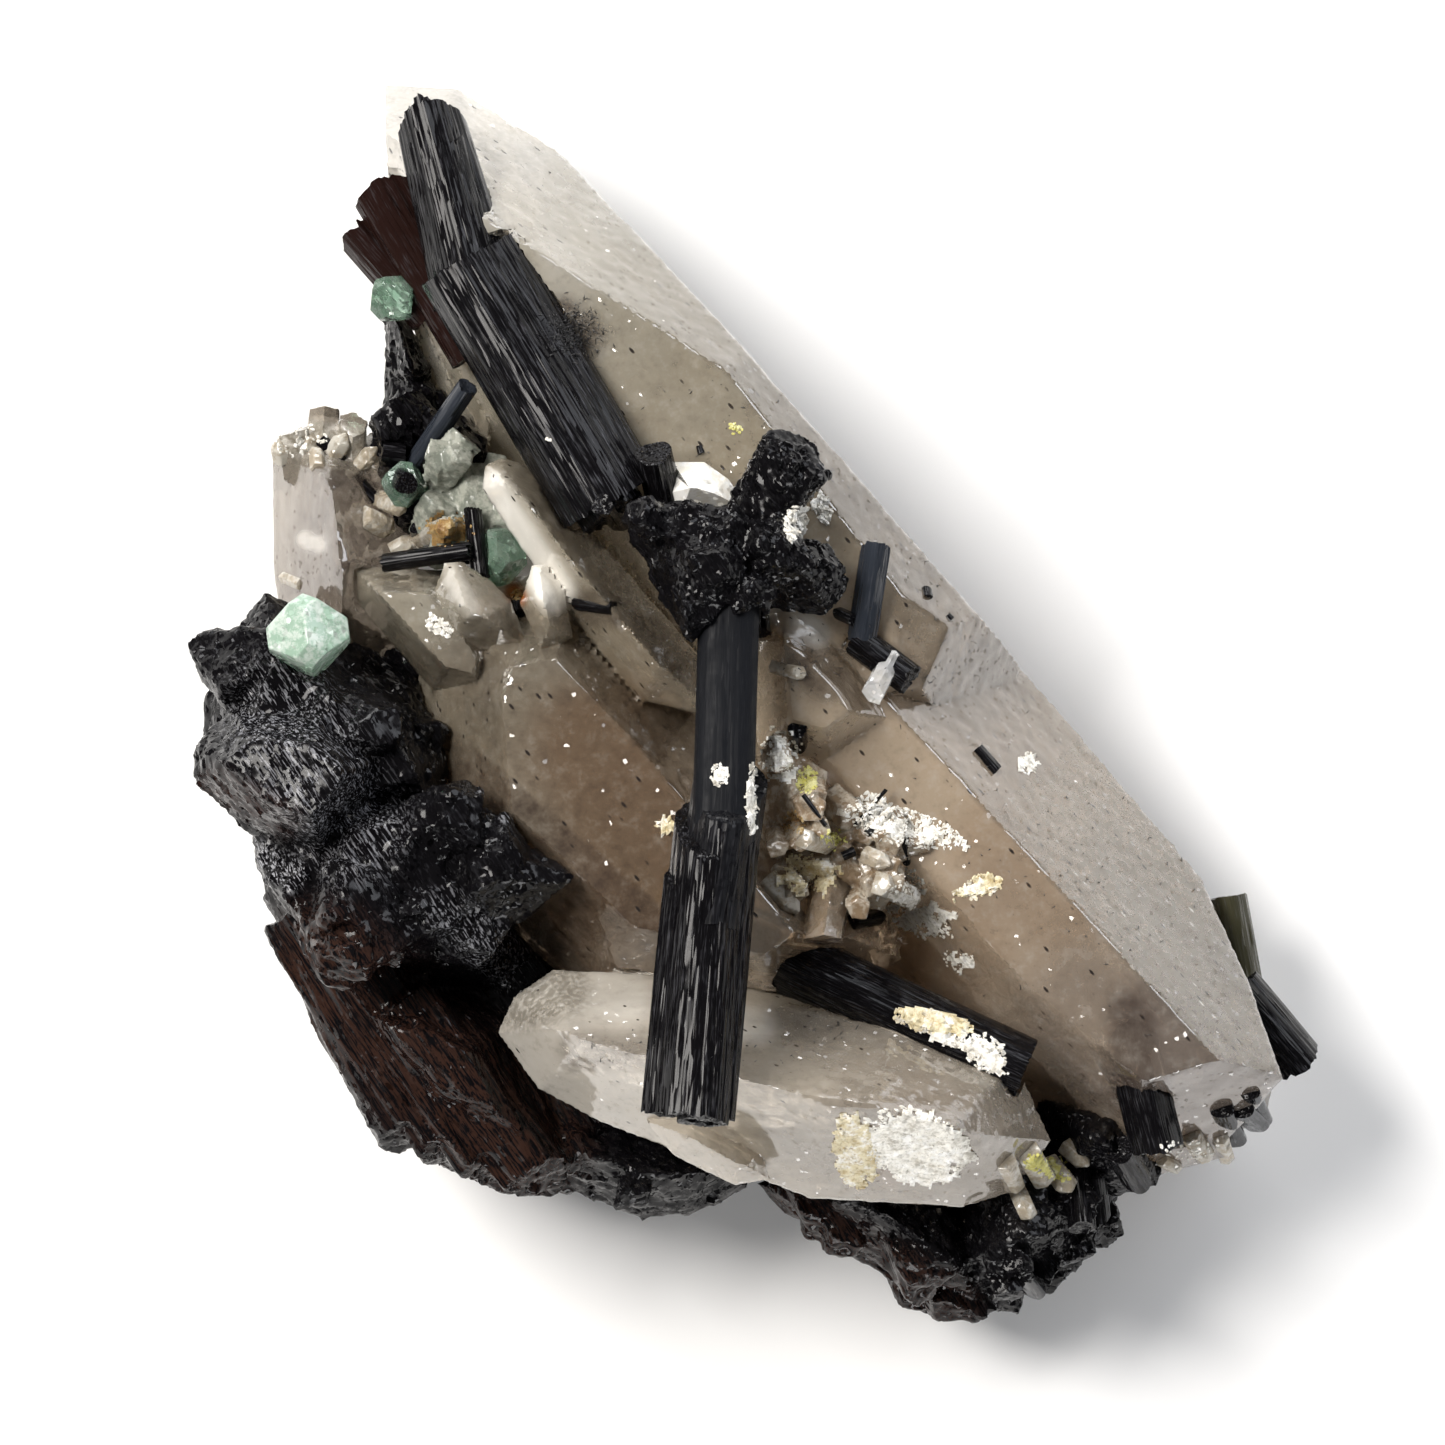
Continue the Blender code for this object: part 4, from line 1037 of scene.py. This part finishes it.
def copies(shape, frames, rng, wobble=0.0):
    """One bmesh with a copy of a small shape in each frame, its points knocked in or out by up to wobble."""
    corners = points_of(shape)
    faces = np.array([[vert.index for vert in face.verts] for face in shape.faces])
    frames = np.array(frames)
    knocks = rng.uniform(1 - wobble, 1 + wobble, (len(frames), len(corners), 1))
    placed = np.einsum("nij,nvj->nvi", frames[:, :3, :3], corners * knocks) + frames[:, None, :3, 3]
    firsts = len(corners) * np.arange(len(frames))
    mesh = bpy.data.meshes.new("copies")
    mesh.from_pydata(placed.reshape(-1, 3), [],
                     (firsts[:, None, None] + faces).reshape(-1, faces.shape[1]))
    bm = bmesh.new()
    bm.from_mesh(mesh)
    bpy.data.meshes.remove(mesh)
    return bm


def turned_place(centre, across, up, turn):
    """The place that lies across and up from a centre, on axes turned by an angle in degrees."""
    slope = math.radians(turn)
    return (centre[0] + across * math.cos(slope) - up * math.sin(slope),
            centre[1] + across * math.sin(slope) + up * math.cos(slope))


def scattered(rng, centre, reach, turn, count):
    """Places strewn over an ellipse on the front, closer together near its middle."""
    way = rng.uniform(0, math.tau, count)
    out = rng.uniform(0, 1, count) ** 0.6
    return zip(*turned_place(centre, out * reach[0] * np.cos(way), out * reach[1] * np.sin(way), turn))


def lying(rest, size, long, rng):
    """The frame of a flake that lies near enough flat where rest gives a place and a normal."""
    lean = Vector((rng.normal(0, 0.35), rng.normal(0, 0.35), 0))  # as a slope
    lie = (lean + rest[1]).to_track_quat("Z", "Y").to_matrix().to_4x4()
    spin = Matrix.Rotation(rng.uniform(0, math.tau), 4, "Z")
    shape = Matrix.Diagonal((size * long, size, size * rng.uniform(0.25, 0.6), 1))
    return Matrix.Translation(rest[0]) @ lie @ spin @ shape


def crust_sheet(trees, centre, reach, turn, thick, lace):
    """A thin crust that follows the surface below it, lumpy on top and ragged at its edge."""
    spacing = 0.17  # mm between its points
    bed = 0.3  # mm that it goes down into what is below it
    spill = 1.2  # half width of the net, as a share of the crust's: its lace may spill over
    bm = bmesh.new()
    columns, rows = (max(4, round(2 * spill * half / spacing)) for half in reach)
    bmesh.ops.create_grid(bm, x_segments=columns, y_segments=rows, size=spill)
    bare = []
    for vert in bm.verts:
        u, v = vert.co.x, vert.co.y
        x, y = turned_place(centre, u * reach[0], v * reach[1], turn)
        spot = Vector((x, y, 0.0))
        cover = 1 - u * u - v * v + lace * (lumps(spot, 0.9) + 0.8 * lumps(spot, 0.38))
        rest = land(trees, x, y)
        if cover < 0 or not rest:
            bare.append(vert)
            vert.co = (x, y, rest[0].z if rest else 0.0)
            continue
        swell = 0.55 + 0.9 * abs(lumps(spot, 0.5)) + 0.35 * lumps(spot, 0.22)
        vert.co = (x, y, rest[0].z + thick * min(1.0, 3 * cover) * swell)
    bmesh.ops.delete(bm, geom=bare, context="VERTS")
    bm.normal_update()
    steep = [face for face in bm.faces if abs(face.normal.z) < 0.25]
    bmesh.ops.delete(bm, geom=steep, context="FACES")
    under = bmesh.ops.extrude_face_region(bm, geom=bm.faces[:])
    bmesh.ops.translate(bm, vec=(0, 0, -bed), verts=made(under, bmesh.types.BMVert))
    bmesh.ops.recalc_face_normals(bm, faces=bm.faces)
    return bm


class SPECIMEN_OT_coatings(bpy.types.Operator):
    """Scatter the flakes and grains of the coatings"""
    bl_idname = "specimen.coatings"
    bl_label = "Coatings"

    # Of each finish: centre, half width and half height, turn in degrees, how many, size and stretch. The
    # flakes are coarser than the real ones, so that they show.
    patches = {
        "white": [
            ((-2.7, -4.8), (0.6, 0.8), 0, 60, 0.28, 1.2),
            ((-0.4, -6.6), (0.35, 2.6), 0, 150, 0.30, 2.2),
            ((10.2, -8.5), (4.4, 1.3), -14, 560, 0.24, 2),
            ((8.4, -7.2), (1.6, 0.9), -30, 120, 0.30, 2),
            ((1.6, -3.6), (1.5, 1.8), 0, 120, 0.30, 1.3),
            ((10.6, -12.7), (1.3, 1.4), 0, 100, 0.32, 1.3),
            ((11.6, -15.4), (2.6, 1), -20, 150, 0.32, 1.4),
            ((19.4, -4), (0.8, 0.8), 0, 60, 0.26, 1.4),
            ((14.2, -18), (1.2, 0.8), 0, 34, 0.26, 1.4),
            ((11, -31), (4, 2.6), -18, 420, 0.40, 1.3),
            ((16.2, -24.6), (1.6, 1.2), -40, 220, 0.34, 1.6),
            ((13.8, -23.6), (1.6, 0.5), -20, 90, 0.28, 1.6),
            ((2.75, 13), (0.8, 1.3), -20, 110, 0.42, 2.4),
            ((4.5, 14.2), (0.5, 1.2), 25, 70, 0.40, 2.4),
            ((-32.6, 19), (1.9, 1.3), 10, 60, 0.30, 1.3),
            ((-22.6, 5.7), (1, 0.6), -30, 60, 0.34, 2),
            ((-14.8, 19), (0.2, 0.2), 0, 4, 0.26, 1.1),
            ((31, -31.8), (2.6, 0.8), -10, 60, 0.30, 1.2),
        ],
        "cream": [
            ((15.9, -12.7), (1.7, 0.8), 25, 110, 0.32, 1.6),
            ((7, -31.6), (1.7, 2.7), 12, 300, 0.40, 1.3),
            ((12.4, -22.4), (2.9, 0.8), -12, 320, 0.36, 1.3),
            ((-6.6, -8.3), (0.7, 0.5), 0, 16, 0.42, 4),
            ((3.6, -11.8), (1.8, 1.4), 0, 160, 0.34, 1.1),
        ],
        "ochre": [
            ((-22, 12.6), (1.9, 1.3), 0, 60, 0.24, 1.1),
            ((-17.2, 8), (0.4, 0.4), 0, 34, 0.26, 1.1),
            ((2.5, -8.3), (0.9, 1), 0, 70, 0.30, 1.1),
        ],
        "lichen": [
            ((3.5, -5.2), (0.8, 1), 0, 120, 0.30, 1.1),
            ((-1.6, 19.8), (0.5, 0.4), 0, 34, 0.26, 1.1),
            ((20.8, -32.8), (1.9, 0.9), -20, 70, 0.30, 1.1),
            ((5.4, -9.4), (1, 0.8), 0, 60, 0.28, 1.1),
        ],
    }

    # Of each finish: centre, half width and half height, turn in degrees, thickness and how lacy it is.
    sheets = {
        "white": [
            ((11.4, -31.2), (4.2, 2.7), -10, 0.34, 0.55),
            ((16.4, -24.8), (1.9, 0.9), -42, 0.24, 1.2),
            ((13.6, -23.7), (1.7, 0.6), -20, 0.16, 1.4),
            ((10.4, -8.6), (4.1, 0.9), -14, 0.16, 2.2),
            ((1.7, -3.4), (1.4, 2), 0, 0.14, 2),
            ((-0.45, -6.6), (0.45, 2.7), 0, 0.22, 1),
            ((-2.7, -4.8), (0.65, 0.75), 0, 0.20, 1.1),
            ((11.4, -14.6), (2.6, 1.5), -20, 0.18, 1.8),
            ((19.4, -4), (0.8, 0.8), 0, 0.16, 1.2),
            ((14.6, -18.2), (1.3, 0.8), 0, 0.10, 1.9),
        ],
        "cream": [
            ((6.9, -31.4), (1.6, 2.9), 8, 0.34, 0.55),
            ((12.6, -22.3), (2.9, 0.9), -12, 0.30, 0.5),
            ((15.9, -12.7), (1.9, 0.7), 25, 0.20, 1.4),
            ((3.8, -12), (2.2, 1.5), 0, 0.24, 1.3),
        ],
        "ochre": [
            ((-22.2, 12.6), (1.7, 1.2), 0, 0.16, 1.3),
        ],
        "lichen": [
            ((3.5, -5.2), (0.7, 0.9), 0, 0.20, 1.2),
            ((20.6, -32.7), (1.6, 0.7), -20, 0.16, 1.4),
        ],
    }

    def execute(self, context):
        trees = ground()
        settings = context.scene.specimen_crust
        finishes = {
            "white": crust_material("white coating", settings.white, linear("FBFAF6"), linear("A9A294")),
            "cream": crust_material("cream coating", settings.cream, settings.white, linear("A88F58")),
            "ochre": crust_material("iron stain", settings.ochre, linear("B39C6E"), linear("6E4A26")),
            "lichen": crust_material("yellow-green coating", settings.lichen, linear("DDD9A0"),
                                     linear("9A9446")),
        }
        grain = bmesh.new()
        bmesh.ops.create_icosphere(grain, subdivisions=1, radius=0.5)
        for number, (finish, material) in enumerate(finishes.items()):
            rng = np.random.default_rng(number)
            frames = []
            for centre, reach, turn, count, size, long in self.patches[finish]:
                for x, y in scattered(rng, centre, reach, turn, count):
                    rest = land(trees, x, y)
                    if rest:
                        frames.append(lying(rest, size * rng.uniform(0.4, 1.2), long, rng))
            sheets = [crust_sheet(trees, *sheet) for sheet in self.sheets[finish]]
            make_piece(finish + "_coating", joined([copies(grain, frames, rng, wobble=0.3), *sheets]),
                       material, "pale_crust", sharp=30)
        grain.free()
        return {"FINISHED"}


class SPECIMEN_OT_inclusions(bpy.types.Operator):
    """Scatter the fine tourmaline needles in the skin of the quartz"""
    bl_idname = "specimen.inclusions"
    bl_label = "Needle Inclusions"

    # Centre, half width and half height, how many, length and depth below the surface. The needles are
    # thicker than the real ones, so that they show.
    swarms = [
        ((-13, 27), (2.1, 2), 420, 0.9, 0.12),
        ((-13.4, 26.2), (1, 1), 140, 0.8, 0.10),
        ((3.6, 3), (2, 1.8), 90, 0.8, 0.3),
        ((0.6, -24.8), (4.6, 1.6), 70, 0.7, 0.4),
        ((-10.5, -24), (3.6, 1.4), 50, 0.6, 0.4),
        ((5.8, -22.8), (1.6, 0.9), 26, 0.9, 0.2),
        ((-19, 38), (3.6, 2.6), 60, 0.5, 0.5),
        ((-2, 21), (6, 5), 150, 0.6, 0.6),
        ((12, 2), (9, 9), 260, 0.6, 0.4),
        ((24, -10), (8, 9), 300, 0.6, 0.3),
        ((18, -18), (7, 6), 60, 0.5, 0.6),
        ((22.5, -29), (3, 2.4), 90, 0.7, 0.6),
        ((-15, 4), (7, 7), 40, 0.5, 0.5),
    ]

    def execute(self, context):
        trees = ground()
        rng = np.random.default_rng(7)
        needle = bmesh.new()
        bmesh.ops.create_cone(needle, segments=3, radius1=0.5, radius2=0.3, depth=1.0, cap_ends=True)
        bmesh.ops.triangulate(needle, faces=needle.faces[:])
        frames = []
        for centre, reach, count, long, depth in self.swarms:
            for x, y in rng.normal(centre, 0.5 * np.array(reach), (count, 2)):
                rest = land(trees, x, y)
                if not rest:
                    continue
                inside = rest[0] - rest[1] * depth * rng.uniform(0, 1)
                way = Vector(rng.normal(0, 1, 3)).to_track_quat("Z", "Y").to_matrix().to_4x4()
                thick = rng.uniform(0.04, 0.12)
                shape = Matrix.Diagonal((thick, thick, long * rng.uniform(0.3, 1.2), 1))
                frames.append(Matrix.Translation(inside) @ way @ shape)
        bm = copies(needle, frames, rng)
        needle.free()
        material, tree = new_material("schorl needles")
        shader = add(tree, "BsdfPrincipled",
                     {"Base Color": context.scene.specimen_schorl.black, "Roughness": 0.35,
                      "IOR": SCHORL_IOR})
        add(tree, "OutputMaterial", {"Surface": shader})
        make_piece("schorl_needle_inclusions", bm, material, "schorl")
        return {"FINISHED"}


class SPECIMEN_OT_stage(bpy.types.Operator):
    """Make the floor, the lights and the camera"""
    bl_idname = "specimen.stage"
    bl_label = "Stage"

    # Name, place, width and height in metres, share of the key setting's power and colour.
    lights = [
        ("key light", (-0.43, 0.24, 0.66), (0.36, 0.36), 1, "FFFBF6"),
        ("sky light", (0.50, 0.45, 0.40), (0.50, 0.30), 0.28, "F4F8FF"),
        ("low light", (0.10, -0.75, 0.24), (0.60, 0.16), 0.35, "FFFFFF"),
        ("back light", (-0.10, 0.80, 0.24), (0.60, 0.16), 0.45, "FFFFFF"),
    ]
    middle = Vector((-0.0025, -0.0011, 0.020))  # metres; what the camera and the lights face

    def execute(self, context):
        settings = context.scene.specimen_stage
        bm = bmesh.new()
        bmesh.ops.create_grid(bm, x_segments=1, y_segments=1, size=2.0)
        # The floor lies just under the resting face.
        bmesh.ops.translate(bm, vec=(0, 0, -0.05 * MM), verts=bm.verts)
        mesh = mesh_of("floor", bm)
        material, tree = new_material("matt white board")
        shader = add(tree, "BsdfPrincipled", {"Base Color": settings.floor, "Roughness": 0.9})
        add(tree, "OutputMaterial", {"Surface": shader})
        mesh.materials.append(material)
        floor = put("floor", mesh)
        for name, place, size, share, code in self.lights:
            data = bpy.data.lights.new(name, "AREA")
            data.shape = "RECTANGLE"
            data.size, data.size_y = size
            data.energy = settings.key * share
            data.color = linear(code)[:3]
            lamp = put(name, data)
            lamp.location = place
            lamp.rotation_euler = (Vector(place) - self.middle).to_track_quat("Z", "Y").to_euler()
        world = bpy.data.worlds.new("white studio")
        world.use_nodes = True
        background = world.node_tree.nodes["Background"]
        background.inputs["Color"].default_value = linear("FFFFFF")
        background.inputs["Strength"].default_value = 0.10
        context.scene.world = world
        lens = bpy.data.cameras.new("camera")
        lens.sensor_width = 36.0
        lens.lens = lens.sensor_width * settings.distance / settings.frame_width
        lens.clip_start = 0.05
        lens.clip_end = 20.0
        camera = put("camera", lens)
        camera.location = self.middle + Vector((0, 0, settings.distance))
        context.scene.camera = camera
        context.scene.view_settings.view_transform = "Standard"
        return {"FINISHED"}


class SPECIMEN_PT_pieces(bpy.types.Panel):
    """Lists the pieces in the order in which they are made"""
    bl_idname = "SPECIMEN_PT_pieces"
    bl_label = "Schorl on Smoky Quartz"
    bl_space_type = "VIEW_3D"
    bl_region_type = "UI"
    bl_category = "Specimen"

    def draw(self, context):
        for step in STEPS:
            self.layout.operator(step.bl_idname)


GROUPS = {
    "specimen_quartz": QuartzSettings,
    "specimen_schorl": SchorlSettings,
    "specimen_crust": CrustSettings,
    "specimen_stage": StageSettings,
}
STEPS = [
    SPECIMEN_OT_smoky_quartz,
    SPECIMEN_OT_pale_quartz,
    SPECIMEN_OT_clear_quartz,
    SPECIMEN_OT_schorl_prisms,
    SPECIMEN_OT_schorl_masses,
    SPECIMEN_OT_fluorites,
    SPECIMEN_OT_crusts,
    SPECIMEN_OT_small_crystals,
    SPECIMEN_OT_coatings,
    SPECIMEN_OT_inclusions,
    SPECIMEN_OT_stage,
]


def register():
    """Adds the classes and the settings to Blender."""
    for cls in [*GROUPS.values(), *STEPS, SPECIMEN_PT_pieces]:
        bpy.utils.register_class(cls)
    for name, group in GROUPS.items():
        setattr(bpy.types.Scene, name, bpy.props.PointerProperty(type=group))


def unregister():
    """Takes the settings and the classes away again."""
    for name in GROUPS:
        delattr(bpy.types.Scene, name)
    for cls in reversed([*GROUPS.values(), *STEPS, SPECIMEN_PT_pieces]):
        bpy.utils.unregister_class(cls)


def main():
    """Makes every piece and the stage."""
    register()
    for name in ("Cube", "Light", "Camera"):
        if name in bpy.data.objects:
            bpy.data.objects.remove(bpy.data.objects[name])
    for step in STEPS:
        group, action = step.bl_idname.split(".")
        getattr(getattr(bpy.ops, group), action)()
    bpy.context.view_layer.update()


if __name__ == "__main__":
    main()
